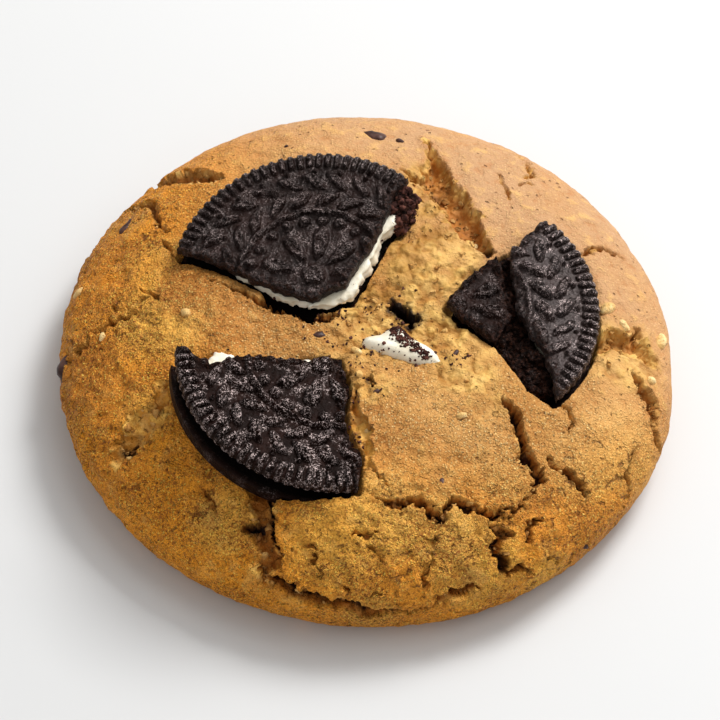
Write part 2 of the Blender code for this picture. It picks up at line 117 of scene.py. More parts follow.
# Cracks and torn hollows: route over the dome (its distances from the middle run along the dome), the widths
# that follow each other along it, and the depth.
CRACKS = [
    # back fissure, its left branch and the hole where it ends
    ([(9.5, 38.5), (10.5, 34), (11.5, 28), (13.5, 21.5), (16.5, 16.5), (19, 12)],
     (1.4, 3, 5.6, 6.6, 6, 3.4), 3),
    ([(6, 30), (8, 28), (10.5, 27), (12, 25)], (2, 3, 3.4, 3), 1.8),
    ([(18.6, 12.6), (19.4, 11.6)], (2.2, 2.2), 4.6),
    # dip along the back left piece's front edge
    ([(-25.5, 7.2), (-20.5, 4.6), (-15.5, 1.8), (-11, -0.4), (-7.5, -1.6), (-4.6, -1.2)],
     (0.8, 1.6, 2, 2.6, 3.2, 2), 3.4),
    # hole in the middle
    ([(4.4, 0.9), (5.8, 0.2), (7.3, -1.5)], (2.2, 3, 2.8), 6),
    # front right crack and its branch
    ([(21.5, -17), (22.5, -19.5), (23, -22.5), (24, -25.5), (25.5, -27.5), (25.5, -29.5), (25, -31.5)],
     (2.6, 3, 2.8, 3, 3, 2.4, 1.8), 4),
    ([(27, -25), (29, -26.5), (31.5, -28), (33.5, -30.5)], (1.6, 2.6, 2.4, 1.8), 2.8),
    # crack across the front
    ([(0, -33.5), (3, -34.5), (6, -34), (8, -34), (9.5, -35), (11, -36.5), (12.5, -34), (13.5, -33.5),
      (15.5, -34), (18, -35), (19.5, -35.5), (21, -34), (23.5, -33.5), (24.5, -32)],
     (0.8, 1.4, 2, 2.2, 2.2, 2.2, 1.6, 2.6, 1.8, 1.8, 1.8, 1.4, 1.4, 1.2), 3),
    # torn gap below the front left piece
    ([(-16, -32), (-15.5, -35), (-16, -38), (-15, -41.5), (-15, -43.5), (-16.5, -45.5)],
     (6.4, 5.6, 4.6, 4.4, 4, 3.4), 3.2),
    ([(-16, -38), (-18, -38.5), (-19.5, -37.5)], (2.2, 2, 1.6), 3.4),
    ([(-14.8, -33), (-14.4, -37), (-13.4, -42)], (1.6, 1.8, 1.2), 4.8),
    # crack along the front edge
    ([(-15, -46), (-12, -47.5), (-9, -49), (-5.5, -49.5), (-2.5, -50.5), (0.5, -52), (4.5, -51.5),
      (8, -51.5), (10.5, -50), (12, -49), (14.5, -48), (16.5, -47), (18, -46)],
     (2.6, 3.4, 3.8, 2.6, 3.8, 3.4, 2.2, 1.4, 1.8, 2.2, 2.6, 2.2, 1.4), 3.4),
    # torn hole, front right
    ([(19, -37), (21, -38), (20, -40.5), (21, -42.5), (22.5, -44.5), (24.5, -42.5), (27, -43)],
     (1.6, 2.2, 2.4, 2.6, 1.8, 2, 1.4), 3),
    ([(24.5, -39), (25, -37), (26, -35.5), (27.5, -35.5)], (1.4, 1.8, 1.6, 1), 2.6),
    # crack right of the right piece
    ([(34.5, 14), (36.5, 15.5), (38.5, 16), (40, 15.5), (42.5, 15)], (1.8, 1.6, 1.4, 1, 0.6), 2),
    # torn hollow at the right edge and the cracks round it
    ([(36, -4.5), (38.5, -3), (42, -3), (44.5, -4.5)], (4.6, 6.4, 6.4, 4.6), 2.8),
    ([(42.5, 0.5), (42.5, -3.5)], (2.4, 3.2), 2.8),
    ([(41, -9), (42.5, -11), (44.5, -12.5), (45, -16), (46.5, -18), (50, -19.5)],
     (2.2, 3, 3.4, 3.2, 2.6, 1.6), 2.8),
    ([(41.5, -21), (41.5, -23), (40.5, -25.5), (42, -27.5), (41.5, -30)], (0.8, 1, 1.2, 0.9, 0.7), 1.6),
    # slanting cracks, left
    ([(-48, -3.5), (-46, -2.5), (-43.5, -1.5)], (1.6, 2.2, 1.6), 2.4),
    ([(-42.5, 0), (-40.5, 0.5), (-39, 1), (-36.5, 1.5)], (1.4, 2, 1.8, 1), 2.2),
    ([(-39.5, 4.5), (-37.5, 3), (-35, 3), (-34, 4)], (0.7, 1, 0.9, 0.6), 1.2),
    ([(-34.5, 6), (-33.5, 5), (-32, 4)], (0.8, 1.2, 0.8), 1.4),
    # notch under the back left flap
    ([(-37, 35.5), (-34, 33), (-31, 31), (-27.5, 30), (-24, 28.5)], (3.4, 4.6, 5.2, 4.6, 3), 3.6),
    ([(-41, 28), (-37.5, 27), (-34.5, 25.5), (-33.5, 22), (-32.5, 19.5), (-30.5, 18), (-29.5, 18)],
     (1.6, 2.4, 2.6, 2, 1.4, 1, 0.8), 2.4),
    ([(-32, 15.5), (-31, 14), (-29.5, 12)], (0.8, 1.2, 0.8), 1.4),
    # torn hollow left of the front left piece
    ([(-31, -12.5), (-31.5, -15.5), (-33, -18), (-36, -19.5), (-38, -22), (-39.5, -24)],
     (3, 3.6, 4.6, 5.6, 4.6, 3), 1.8),
    ([(-37.4, -22), (-38.4, -23.4)], (2.2, 2), 4.6),
    # small cracks over the front
    ([(-25.5, -31), (-24.5, -32.5), (-23.5, -34), (-23, -35)], (0.8, 1.1, 1.1, 0.7), 1.8),
    ([(-10.8, -41), (-10.4, -43)], (0.6, 0.6), 0.9),
    ([(-8.5, -41), (-7.7, -41.8)], (1, 1.3), 1.5),
    ([(-7.7, -42.9), (-7.2, -44.2), (-6.7, -45.6)], (1.5, 1.1, 0.8), 1.5),
    ([(-1.9, -39.5), (-0.6, -39.1), (0.2, -39), (1.7, -38.5)], (0.8, 1.1, 1.2, 0.7), 1.5),
    ([(0.2, -40.8), (0.8, -42), (2.2, -43.6)], (0.7, 0.7, 0.6), 0.9),
    ([(-2.9, -47.4), (-2.2, -47.8)], (1.1, 1.1), 1.5),
    ([(10.6, -39.8), (9.4, -41.4), (9.6, -43.2), (8.9, -45), (9.2, -46.6)], (0.7, 0.9, 1.1, 1, 1.6), 1.5),
    ([(0.6, -49), (1.4, -47.6), (2.4, -47.8)], (0.8, 0.8, 0.6), 1),
    ([(4.4, -47.3), (5.3, -49)], (0.7, 0.7), 0.9),
    ([(20.2, -35.8), (21.8, -34.9)], (1, 0.8), 1.2),
    ([(31.2, -40.8), (32.6, -39.2)], (0.9, 0.7), 1.1),
    ([(29, -40), (29.6, -42)], (0.6, 0.5), 0.8),
    # small cracks at the back right
    ([(22, 30), (22.5, 26), (23, 24)], (0.6, 1, 0.6), 1.2),
    ([(25.5, 39), (27, 35.5), (27.5, 32), (27, 29.5)], (1, 1.6, 2.2, 1.2), 1.6),
    ([(25, 28), (27.5, 28.5)], (0.8, 1), 1),
    # crack below the right piece
    ([(30, -16), (31, -17.5), (31.5, -19), (31, -21)], (1.2, 1.2, 1, 0.7), 1.6),
    # gap right of the front left piece
    ([(-2.5, -11), (-1.5, -15.5), (-2, -19), (-1, -22.5), (0.5, -26), (1, -29), (2, -31), (3, -32)],
     (1.2, 1.6, 2.2, 2.6, 2, 1.4, 1, 0.8), 1.5),
    ([(0.6, -13.6), (1.2, -15.4)], (1.6, 1.8), 3.4),
]

# Holes whose bottoms lie too deep for light: middle, reach and strength.
HOLES = [((4.6, 0.8), 1.6, 1), ((5.9, 0.1), 2.1, 1), ((7.2, -1.3), 2, 1), ((18.9, 12.2), 1.4, 0.9),
         ((-37.8, -22.6), 1.5, 0.95), ((-17.4, -38.4), 1.5, 0.8), ((-14.4, -37), 1.3, 0.8),
         ((0.9, -14.5), 1, 0.8), ((11, -36.6), 1.1, 0.7), ((21.2, -43), 1.4, 0.7), ((-7, -49.6), 1.6, 0.5),
         ((12, 25.2), 1.4, 0.5)]

# Where the crust never closed and the rough, pale crumb lies open: middle, reach and strength.
OPEN_CRUMB = [((3, -1.5), 9, 1), ((10, 9), 9.5, 0.95), ((9.5, 22), 5, 0.9), ((8.5, 28), 3.6, 0.8),
              ((-3, -8.5), 5, 0.8), ((12, -4), 6, 1), ((15, -11.5), 6, 0.9), ((1, -15), 4, 0.7),
              ((18, -17), 4, 0.7), ((40, -5), 8, 0.7), ((-12, -49), 3, 0.5), ((-17.5, -46.5), 3, 0.5)]

# Wide tears whose floors are crumbly too: middle, reach and strength.
WIDE_TEARS = [((40.5, -3.5), 5, 1), ((-35, -19.5), 6, 0.7), ((-31, 31), 6, 1), ((14, 22), 9, 1),
              ((-15.5, -38), 7, 0.5)]

# Where the crust is crazed by fine cracks: middle, reach and strength.
CRAZED = [((-40, 0), 11, 0.55), ((-33, -27), 15, 0.6), ((2, -44), 19, 1), ((27, -42), 14, 1),
          ((38, -27), 10, 0.7), ((-38, 16), 8, 0.5)]

# Where the crust is paler or browner than round about: middle, reach and strength. Part is its baking and
# part
# is painted light: painted highlight and lightened shade in the pale spots, painted shadow round the back
# left piece and painted shade on the left side in the browned ones.
PALE_AND_LIT = [((-31, 0), 9, 0.95), ((-33, 11), 6, 0.5), ((39, -21), 8, 0.8), ((33, -25), 7, 0.8),
        ((21.5, -28), 6, 0.7), ((3, -36.5), 8, 1), ((17, -43), 9, 0.85), ((-4, -40), 9, 0.75),
        ((11, -13), 9, 0.4), ((16.5, -22), 5, 0.5), ((46, -22), 6, 0.5), ((-34, -16.5), 5, 0.7),
        ((11.5, -38.5), 7, 1), ((30, -44), 5, 0.8), ((-22, -36.5), 6, 0.8), ((0.5, -52), 5, 0.8)]
BROWNED_AND_SHADED = [((-46, -6), 9, 0.8), ((-44, 12), 10, 0.7), ((-28, 4), 5.5, 1), ((-19, -2), 6, 0.4),
           ((11.5, 17.5), 6, 0.85), ((5.5, 9), 5, 0.9), ((1.5, 4.5), 3.5, 1), ((11.5, -9), 3.5, 0.7),
           ((41, 2), 4, 0.7), ((48, -2), 4, 0.6), ((-40, -13), 6, 0.7), ((-39.5, -25), 7, 0.5)]

# Where a chip of chocolate lies close under the crust and greys it: middle, reach and strength.
BURIED = [((14.4, -41), 4.4, 0.25), ((16.6, -44.8), 2.2, 0.8), ((-24.2, -34.8), 2.4, 0.6),
          ((11.4, -30.6), 2.8, 0.5), ((-38.3, 22.5), 4.5, 0.5)]


def lattice_value(cell, seed):
    """Return a fixed random number from -1 to 1 for each whole-number cell."""
    mixed = (cell[..., 0] * 374761393 + cell[..., 1] * 668265263 + cell[..., 2] * 1440662683
             + seed * 974634777).astype(np.uint64) & 0xFFFFFFFF
    mixed = ((mixed ^ (mixed >> 13)) * 1274126177) & 0xFFFFFFFF
    mixed = ((mixed ^ (mixed >> 16)) * 2246822519) & 0xFFFFFFFF
    return (mixed ^ (mixed >> 15)).astype(float) / 0x7FFFFFFF - 1.0


def lumps(points, size, seed):
    """Return smooth random lumps of a size, from about -1 to 1, at points."""
    scaled = points / size + 1000.0
    cell = np.floor(scaled).astype(np.int64)
    part = scaled - cell
    part = part * part * part * (part * (part * 6 - 15) + 10)
    total = 0.0
    for corner in np.ndindex(2, 2, 2):
        offset = np.array(corner)
        weight = np.prod(np.where(offset == 1, part, 1 - part), axis=-1)
        total = total + weight * lattice_value(cell + offset, seed)
    return total


def rough(points, size, seed, octaves=3):
    """Return lumps with finer lumps on them."""
    total = 0.0
    for octave in range(octaves):
        total = total + lumps(points, size / 2 ** octave, seed + octave) / 2 ** octave
    return total / 1.5


def columns(kind, points, size, *seeds):
    """Return random lumps of a kind at points, one column for each seed."""
    return np.stack([kind(points, size, seed) for seed in seeds], axis=1)


def ease(value, low, high):
    """Return 0 below low, 1 above high, and a smooth rise between."""
    share = np.clip((value - low) / (high - low), 0.0, 1.0)
    return share * share * (3 - 2 * share)


def dome_profile():
    """Return radius, height and length along the dome's profile, from its top to the edge of its base."""
    turn = np.linspace(0.0, math.pi / 2, 400)
    top_radius = DOUGH_RADIUS * np.sin(turn) ** (2 / DOME_FULLNESS)
    top_height = WIDEST_AT + (DOUGH_HEIGHT - WIDEST_AT) * np.cos(turn)
    fall = np.linspace(0.0, 1.0, 60)[1:]
    radius = np.concatenate([top_radius, DOUGH_RADIUS - TUCK_UNDER * (1 - np.sqrt(1 - fall ** 2))])
    height = np.concatenate([top_height, WIDEST_AT * (1 - fall)])
    length = np.concatenate([[0.0], np.cumsum(np.hypot(np.diff(radius), np.diff(height)))])
    return radius, height, length


PROFILE_RADIUS, PROFILE_HEIGHT, PROFILE_LENGTH = dome_profile()
FULL_LENGTH = PROFILE_LENGTH[-1]


def dome_point(plan):
    """Return points of the smooth dome over plan points, whose distances run along the dome."""
    along = np.hypot(plan[..., 0], plan[..., 1])
    angle = np.arctan2(plan[..., 1], plan[..., 0])
    oval = 1 + DOUGH_OVAL / DOUGH_RADIUS * np.cos(2 * (angle - DOUGH_OVAL_TURN))
    radius = np.interp(along, PROFILE_LENGTH, PROFILE_RADIUS) * oval
    height = np.interp(along, PROFILE_LENGTH, PROFILE_HEIGHT)
    return np.stack([radius * np.cos(angle), radius * np.sin(angle), height], axis=-1)


def dome_outward(plan):
    """Return the smooth dome's outward directions over plan points."""
    along = np.maximum(np.hypot(plan[..., 0], plan[..., 1]), 1e-6)
    angle = np.arctan2(plan[..., 1], plan[..., 0])
    spoke = plan / along[..., None]
    after = dome_point(spoke * np.minimum(along + 0.5, FULL_LENGTH)[..., None])
    slope = after - dome_point(spoke * np.maximum(along - 0.5, 1e-6)[..., None])
    rise = np.hypot(slope[..., 0], slope[..., 1])
    outward = np.stack([-slope[..., 2] * np.cos(angle), -slope[..., 2] * np.sin(angle), rise + 1e-9], axis=-1)
    return outward / np.linalg.norm(outward, axis=-1, keepdims=True)


def route_reach(plan, route, widths):
    """Return how deep plan points lie in a crack, 1 on its middle and 0 at its edge, and how far past it."""
    best = np.full(len(plan), -1e9)
    edge = np.full(len(plan), 1e9)
    for number in range(len(route) - 1):
        start = np.array(route[number])
        step = np.array(route[number + 1]) - start
        share = np.clip((plan - start) @ step / (step @ step), 0.0, 1.0)
        away = np.linalg.norm(plan - start - share[:, None] * step, axis=1)
        half = (widths[number] + (widths[number + 1] - widths[number]) * share) / 2
        best = np.maximum(best, 1 - away / half)
        edge = np.minimum(edge, away - half)
    return best, edge


def granules(plan, size, seed):
    """Return the middle of the irregular granule that each plan point lies in, and how far off it is."""
    cell = np.floor(plan / size).astype(np.int64)
    nearest = np.full(len(plan), 1e9)
    middle = plan.copy()
    for across in (-1, 0, 1):
        for along in (-1, 0, 1):
            here = cell + np.array([across, along])
            key = np.concatenate([here, np.zeros((len(plan), 1), np.int64)], axis=1)
            jitter = np.stack([lattice_value(key, seed), lattice_value(key, seed + 7)], axis=1) * 0.36 + 0.5
            candidate = (here + jitter) * size
            away = np.linalg.norm(plan - candidate, axis=1)
            closer = away < nearest
            nearest = np.where(closer, away, nearest)
            middle = np.where(closer[:, None], candidate, middle)
    return middle, nearest / size


def piece_frame(piece):
    """Return the frame of a piece, in millimetres, whose face's normal has the given level part."""
    lean = piece["lean"]
    normal = Vector((*lean, math.sqrt(1 - lean[0] ** 2 - lean[1] ** 2)))
    across = (Vector((1, 0, 0)) - normal * normal.x).normalized()
    place = Matrix((across, normal.cross(across), normal)).transposed().to_4x4()
    place.translation = Vector(piece["middle"])
    return place


def on_piece(points, piece):
    """Return the piece's upright, the points' places on the piece, and which of them are close to it."""
    turned = np.array(piece_frame(piece))
    local = (points - turned[:3, 3]) @ turned[:3, :3]
    return turned[:3, 2], local, np.hypot(local[:, 0], local[:, 1]) < WAFER_RADIUS + POCKET_REACH


def broken_outline(arc, broken_edge, radius, step=math.radians(2)):
    """Return a layer's outline: its arc of the disc, then its broken edge."""
    if arc is None:
        return list(broken_edge)
    start, end = (math.radians(value) for value in arc)
    steps = max(2, math.ceil((end - start) / step))
    turns = [start + (end - start) * number / steps for number in range(steps + 1)]
    return [(radius * math.cos(turn), radius * math.sin(turn)) for turn in turns] + list(broken_edge)


def outline_distance(points, outline):
    """Return the distance of points from a closed outline, negative inside it."""
    corners = np.array(outline)
    nearest = np.full(len(points), 1e9)
    inside = np.zeros(len(points), bool)
    for start, end in zip(corners, np.roll(corners, -1, axis=0)):
        step = end - start
        share = np.clip((points - start) @ step / (step @ step), 0.0, 1.0)
        nearest = np.minimum(nearest, np.linalg.norm(points - start - share[:, None] * step, axis=1))
        crosses = (start[1] > points[:, 1]) != (end[1] > points[:, 1])
        with np.errstate(divide="ignore", invalid="ignore"):
            at = start[0] + (points[:, 1] - start[1]) / (end[1] - start[1]) * step[0]
        inside ^= crosses & (points[:, 0] < at)
    return np.where(inside, -nearest, nearest)


def layer_outlines(piece):
    """Return the name and the outline of each layer of a sandwich piece."""
    return [(layer, broken_outline(*piece[layer], radius)) for layer, radius in LAYER_RADIUS.items()
            if layer in piece]


def piece_reach(points):
    """Return the distance of points from the sandwich pieces, seen along each piece's own upright."""
    nearest = np.full(len(points), 1e9)
    for piece in SANDWICH_PIECES.values():
        _, local, near = on_piece(points, piece)
        for _, outline in layer_outlines(piece):
            nearest[near] = np.minimum(nearest[near], outline_distance(local[near, :2], outline))
    return nearest


def soft_spots(plan, spots):
    """Return how strongly soft-edged round areas cover plan points."""
    cover = np.zeros(len(plan))
    for middle, reach, strength in spots:
        away = np.linalg.norm(plan - np.array(middle), axis=1)
        cover = np.maximum(cover, strength * (1 - ease(away, reach * 0.55, reach * 1.15)))
    return cover


def joined_triangles(points, edge_count):
    """Return the triangles that join points inside the closed outline that the first of them make."""
    joined = delaunay_2d_cdt([Vector(point) for point in points.tolist()], [], [tuple(range(edge_count))],
                             1, 1e-7)
    if len(joined[0]) != len(points):
        raise ValueError("the outline crosses itself")
    given = [ids[0] for ids in joined[3]]
    return [tuple(given[corner] for corner in face) for face in joined[2]]


def lattice_points(across, beyond, spacing):
    """Return the plan points of cells of a lattice of even triangles."""
    return np.stack([spacing * (across + beyond / 2), spacing * beyond * math.sqrt(3) / 2], axis=-1)


def bent(plan):
    """Return plan points bent by lumps and drawn a little to granules, for edges that are to be ragged."""
    skin = dome_point(plan)
    wandering = plan + 0.8 * columns(rough, skin, 3.2, 11, 31) + 0.6 * columns(rough, skin, 1.0, 51, 71)
    return wandering + 0.5 * (granules(wandering, 0.8, 205)[0] - wandering)


def crust_plan():
    """Return the crust's plan points, closer together along the cracks, and its triangles."""
    fine = CRUST_SPACING / 2
    count = int(FULL_LENGTH / CRUST_SPACING * 1.3)
    across, beyond = (way.ravel() for way in np.meshgrid(*[np.arange(-count, count + 1)] * 2))
    plan = lattice_points(across, beyond, CRUST_SPACING)
    along = np.hypot(plan[:, 0], plan[:, 1])
    even = (across % 2 == 0) & (beyond % 2 == 0)
    kept = (along < FULL_LENGTH - CRUST_SPACING * 0.7) & (even | (along < TUCKED_FROM))
    plan, across, beyond = plan[kept], across[kept], beyond[kept]
    torn_plan = bent(plan)
    nearest = np.full(len(plan), 1e9)
    for route, widths, _ in CRACKS:
        nearest = np.minimum(nearest, np.abs(route_reach(torn_plan, route, widths)[1] + 0.3))
    near = nearest < FINE_REACH
    near |= soft_spots(torn_plan, OPEN_CRUMB) > 0.3
    near |= np.abs(piece_reach(dome_point(plan)) - 0.4) < FINE_REACH
    near &= np.hypot(plan[:, 0], plan[:, 1]) < TUCKED_FROM
    parents = np.stack([across[near], beyond[near]], axis=1) * 2
    children = np.concatenate([parents + offset for offset in ((1, 0), (0, 1), (1, 1))])
    turns = 2 * math.pi * np.arange(BASE_CORNERS) / BASE_CORNERS
    base = FULL_LENGTH * np.stack([np.cos(turns), np.sin(turns)], axis=1)
    plan = np.concatenate([base, plan, lattice_points(children[:, 0], children[:, 1], fine)])
    return plan, joined_triangles(plan, BASE_CORNERS)


def new_piece(name, points, faces, marks=None, place=None):
    """Return a smooth mesh object from points in millimetres, with its point attributes."""
    mesh = bpy.data.meshes.new(name)
    points = np.asarray(points, float)
    if place is not None:
        turned = np.array(place)
        points = points @ turned[:3, :3].T + turned[:3, 3]
    mesh.from_pydata((points * METRES).tolist(), [],
                     [tuple(int(corner) for corner in face) for face in faces])
    mesh.validate()
    for mark, values in (marks or {}).items():
        attribute = mesh.attributes.new(mark, "FLOAT", "POINT")
        attribute.data.foreach_set("value", np.asarray(values, np.float32))
    mesh.shade_smooth()
    piece = bpy.data.objects.new(name, mesh)
    bpy.context.scene.collection.objects.link(piece)
    return piece


crust, crust_faces = crust_plan()
along = np.hypot(crust[:, 0], crust[:, 1])
smooth_skin = dome_point(crust)
outward = dome_outward(crust)
torn_plan = bent(crust)

# broad swells and lumps of the dome
height = np.zeros(len(crust))
for middle, spread, rise in SWELLS:
    height += rise * np.exp(-np.sum((crust - np.array(middle)) ** 2, axis=1) / (2 * spread ** 2))
height += 0.45 * rough(smooth_skin, 14.0, 3) + 0.16 * rough(smooth_skin, 4.0, 5)

# cracks: how deep their grooves go, and where the skin is torn, lipped and shaded
ragged = rough(smooth_skin, 1.9, 91)
groove, torn, lip, shade = np.zeros((4, len(crust)))
for route, widths, depth in CRACKS:
    reach, edge = route_reach(torn_plan, route, widths)
    broad = float(np.mean(widths))
    edge = edge + 0.14 * min(broad, 2.5) + 0.12 * min(broad, 4.0) * ragged
    wall = ease(-edge, -0.05, min(2.4, 0.3 * broad))
    floor_shape = 0.6 + 0.4 * np.clip(reach, 0.0, 1.0)
    groove = np.maximum(groove, depth * wall * floor_shape)
    shade = np.maximum(shade, wall * floor_shape * min(1.0, depth / broad / 1.3) * (depth / 2.9) ** 1.6)
    torn = np.maximum(torn, ease(-edge, -0.05, 0.3))
    strength = min(1.0, depth / 3.0)
    lip = np.maximum(lip, strength * np.exp(-(np.maximum(edge, 0.0) / 0.7) ** 2))

crazing = soft_spots(crust, CRAZED) * ease(rough(smooth_skin, 3.5, 17), -0.05, 0.35)
open_crumb = soft_spots(torn_plan, OPEN_CRUMB) * (0.6 + 0.4 * ease(rough(smooth_skin, 2.4, 23), -0.4, 0.3))
torn = np.maximum(torn, open_crumb)

# the crust's grain, which is coarser towards the front left, and the granules of the crumb
front = ease(0.6 * crust[:, 0] + 0.8 * crust[:, 1], 12.0, -22.0)
grain = (0.15 + 0.17 * front) * rough(smooth_skin, 1.7, 41, 2)
grain = grain * (0.35 + 0.65 * ease(rough(smooth_skin, 9.0, 47), -0.4, 0.4))
big_away = granules(crust + 0.6 * (torn_plan - crust), 2.3, 303)[1]
small_away = granules(crust + 0.4 * (torn_plan - crust), 1.0, 307)[1]
crest = 0.7 * rough(smooth_skin, 3.4, 61) + 0.55 * (np.exp(-(big_away / 0.42) ** 2) - 0.5)
crest += 0.16 * (np.exp(-(small_away / 0.42) ** 2) - 0.5)
crumble = torn * crest
fade = np.clip((FULL_LENGTH - along) / WIDEST_AT, 0.0, 1.0)
height += 0.16 * lip - groove + grain + crumble
height *= fade
skin = smooth_skin + outward * height[:, None]
clod = columns(lumps, skin, 1.3, 401, 411, 421) + 0.5 * columns(lumps, skin, 0.6, 404, 414, 424)
crumbly = np.maximum(torn * (0.5 + 0.5 * ease(shade + front, 0.1, 0.6)), 0.18 + 0.62 * front)
skin += CLOD_SHIFT * (crumbly * fade)[:, None] * clod
for axis, reach in enumerate(SKIN_REACH):
    overhang = np.maximum(np.abs(skin[:, axis]) - reach, 0.0)
    skin[:, axis] -= np.sign(skin[:, axis]) * SKIN_PRESS * overhang ** 2
skin[:, 2] = np.maximum(skin[:, 2], 0.0)
skin[along >= FULL_LENGTH - 1e-6, 2] = 0.0

# pockets under the sandwich pieces
pressed = np.zeros(len(crust))
for where, piece in SANDWICH_PIECES.items():
    upright, local, near = on_piece(skin, piece)
    away = np.full(len(crust), 1e9)
    for layer, outline in layer_outlines(piece):
        reach = outline_distance(local[near, :2], outline)
        if where == "back_left" and layer == "base_wafer":
            reach += 3.0 * ease(np.abs(local[near, 0] + 4.0), 3.5, 5.5)
        away[near] = np.minimum(away[near], reach)
    sink = np.minimum(local[:, 2], -POCKET_DEPTH) - local[:, 2]
    rolled = ROLLED_EDGE * (1 - ease(away, 0.4, 2.0)) * ease(local[:, 2], -POCKET_DEPTH, 2.0 - POCKET_DEPTH)
    under = 1 - ease(away + 0.12 * lumps(smooth_skin, 0.9, 431), 0.15, 0.6)
    skin += upright * (under * sink - (1 - under) * rolled)[:, None]
    pressed = np.maximum(pressed, 1 - ease(away, 0.3, 2.2))

# where granules of crumb lie loose: wide tears and crack floors, not under a sandwich piece or round the base
wide = soft_spots(crust, OPEN_CRUMB + WIDE_TEARS)
loose = 0.3 * torn * wide * ease(rough(smooth_skin, 3.0, 83), -0.5, 0.2)
loose = np.maximum(loose, 0.5 * ease(shade, 0.3, 0.6) * (1 - ease(shade, 0.9, 1.1)))
loose *= (1 - ease(pressed, 0.2, 0.6)) * (1 - ease(along, 49.0, 52.0))
dough = new_piece("cookie_dough", skin, crust_faces + [tuple(range(BASE_CORNERS))[::-1]],
                  {"torn": torn, "deep": np.clip(shade, 0, 1), "lip": np.clip(lip, 0, 1),
                   "crest": np.clip(0.5 + 0.7 * crest, 0, 1), "crazed": crazing,
                   "pale": soft_spots(crust, PALE_AND_LIT), "browned_and_shaded": soft_spots(crust, BROWNED_AND_SHADED),
                   "hole": soft_spots(torn_plan, HOLES), "buried": soft_spots(torn_plan, BURIED)})


class Wires:
    """Short ways to make and join the nodes of a material or of a geometry tree."""

    def __init__(self, tree):
        self.tree = tree

    def node(self, kind, inputs=None, **settings):
        made = self.tree.nodes.new(kind)
        for name, value in settings.items():
            setattr(made, name, value)
        for name, value in (inputs or {}).items():
            self.join(value, made.inputs[name])
        return made

    def join(self, value, socket):
        if isinstance(value, bpy.types.NodeSocket):
            self.tree.links.new(value, socket)
        else:
            socket.default_value = value

    def math(self, operation, *values):
        made = self.node("ShaderNodeMath", operation=operation)
        for number, value in enumerate(values):
            self.join(value, made.inputs[number])
        return made.outputs[0]

    def fold(self, operation, values):
        """Return what an operation makes of values taken one after another."""
        total = values[0]
        for value in values[1:]:
            total = self.math(operation, total, value)
        return total

    def times(self, *values):
        return self.fold("MULTIPLY", values)

    def plus(self, *values):
        return self.fold("ADD", values)

    def less(self, *values):
        return self.fold("SUBTRACT", values)

    def most(self, *values):
        return self.fold("MAXIMUM", values)

    def vector(self, operation, first, second=None, scale=None):
        """Return what an operation makes of one or two vectors, or of a vector and a scale."""
        made = self.node("ShaderNodeVectorMath", {0: first}, operation=operation)
        if second is not None:
            self.join(second, made.inputs[1])
        if scale is not None:
            self.join(scale, made.inputs["Scale"])
        return made.outputs["Value" if operation == "DISTANCE" else 0]

    def ease(self, value, low, high, to_low=0.0, to_high=1.0):
        made = self.node("ShaderNodeMapRange", {0: value, 1: low, 2: high, 3: to_low, 4: to_high},
                         interpolation_type="SMOOTHSTEP")
        return made.outputs["Result"]

    def noise(self, place, size, detail=2.0, roughness=0.5):
        return self.node("ShaderNodeTexNoise", {"Vector": place, "Scale": 1 / (size * METRES),
                                                "Detail": detail, "Roughness": roughness}).outputs[0]

    def cells(self, place, size, feature="F1"):
        return self.node("ShaderNodeTexVoronoi", {"Vector": place, "Scale": 1 / (size * METRES)},
                         feature=feature).outputs

    def cloud(self, place, scale, detail):
        """Return random vectors that change smoothly from place to place, even about nought."""
        noise = self.node("ShaderNodeTexNoise", {"Vector": place, "Scale": scale, "Detail": detail})
        return self.vector("SUBTRACT", noise.outputs["Color"], (0.5, 0.5, 0.5))

    def astray(self, place, size, amount):
        """Return the place moved about by noise, so that patterns laid on it lose their straight lines."""
        moved = self.vector("SCALE", self.cloud(place, 1 / (size * METRES), 2.0), scale=amount * METRES)
        return self.vector("ADD", place, moved)

    def mix(self, share, first, second):
        return self.node("ShaderNodeMix", {0: share, 6: first, 7: second}, data_type="RGBA").outputs[2]

    def coats(self, colour, *coats):
        """Return a colour under coats of other colours, each laid on by its share."""
        for share, paint in coats:
            colour = self.mix(share, colour, paint)
        return colour

    def mark(self, name):
        return self.node("ShaderNodeAttribute", attribute_name=name).outputs["Fac"]

    def bumps(self, *layers):
        """Return the normal of a surface with layers of bumps: each one's height, depth and strength."""
        normal = None
        for height, depth, strength in layers:
            made = self.node("ShaderNodeBump", {"Height": height, "Distance": depth * METRES,
                                                "Strength": strength})
            if normal is not None:
                self.join(normal, made.inputs["Normal"])
            normal = made.outputs["Normal"]
        return normal


def tint(red, green, blue):
    """Return a linear colour from the 0 to 255 values of a paint chart."""
    values = [value / 255 for value in (red, green, blue)]
    return (*[value / 12.92 if value <= 0.04045 else ((value + 0.055) / 1.055) ** 2.4 for value in values],
            1.0)


class Finish(Wires):
    """A new material, whose patterns are laid on the piece's own places."""

    def __init__(self, name):
        self.material = bpy.data.materials.new(name)
        self.material.use_nodes = True
        super().__init__(self.material.node_tree)
        self.place = self.node("ShaderNodeTexCoord").outputs["Object"]

    def done(self, colour, roughness, shine=0.5, normal=None, sheen=(255, 255, 255)):
        """Join the shader's sockets and return the material."""
        sockets = {"Base Color": colour, "Roughness": roughness, "Specular IOR Level": shine,
                   "Specular Tint": tint(*sheen)}
        if normal is not None:
            sockets["Normal"] = normal
        for name, value in sockets.items():
            self.join(value, self.tree.nodes["Principled BSDF"].inputs[name])
        return self.material


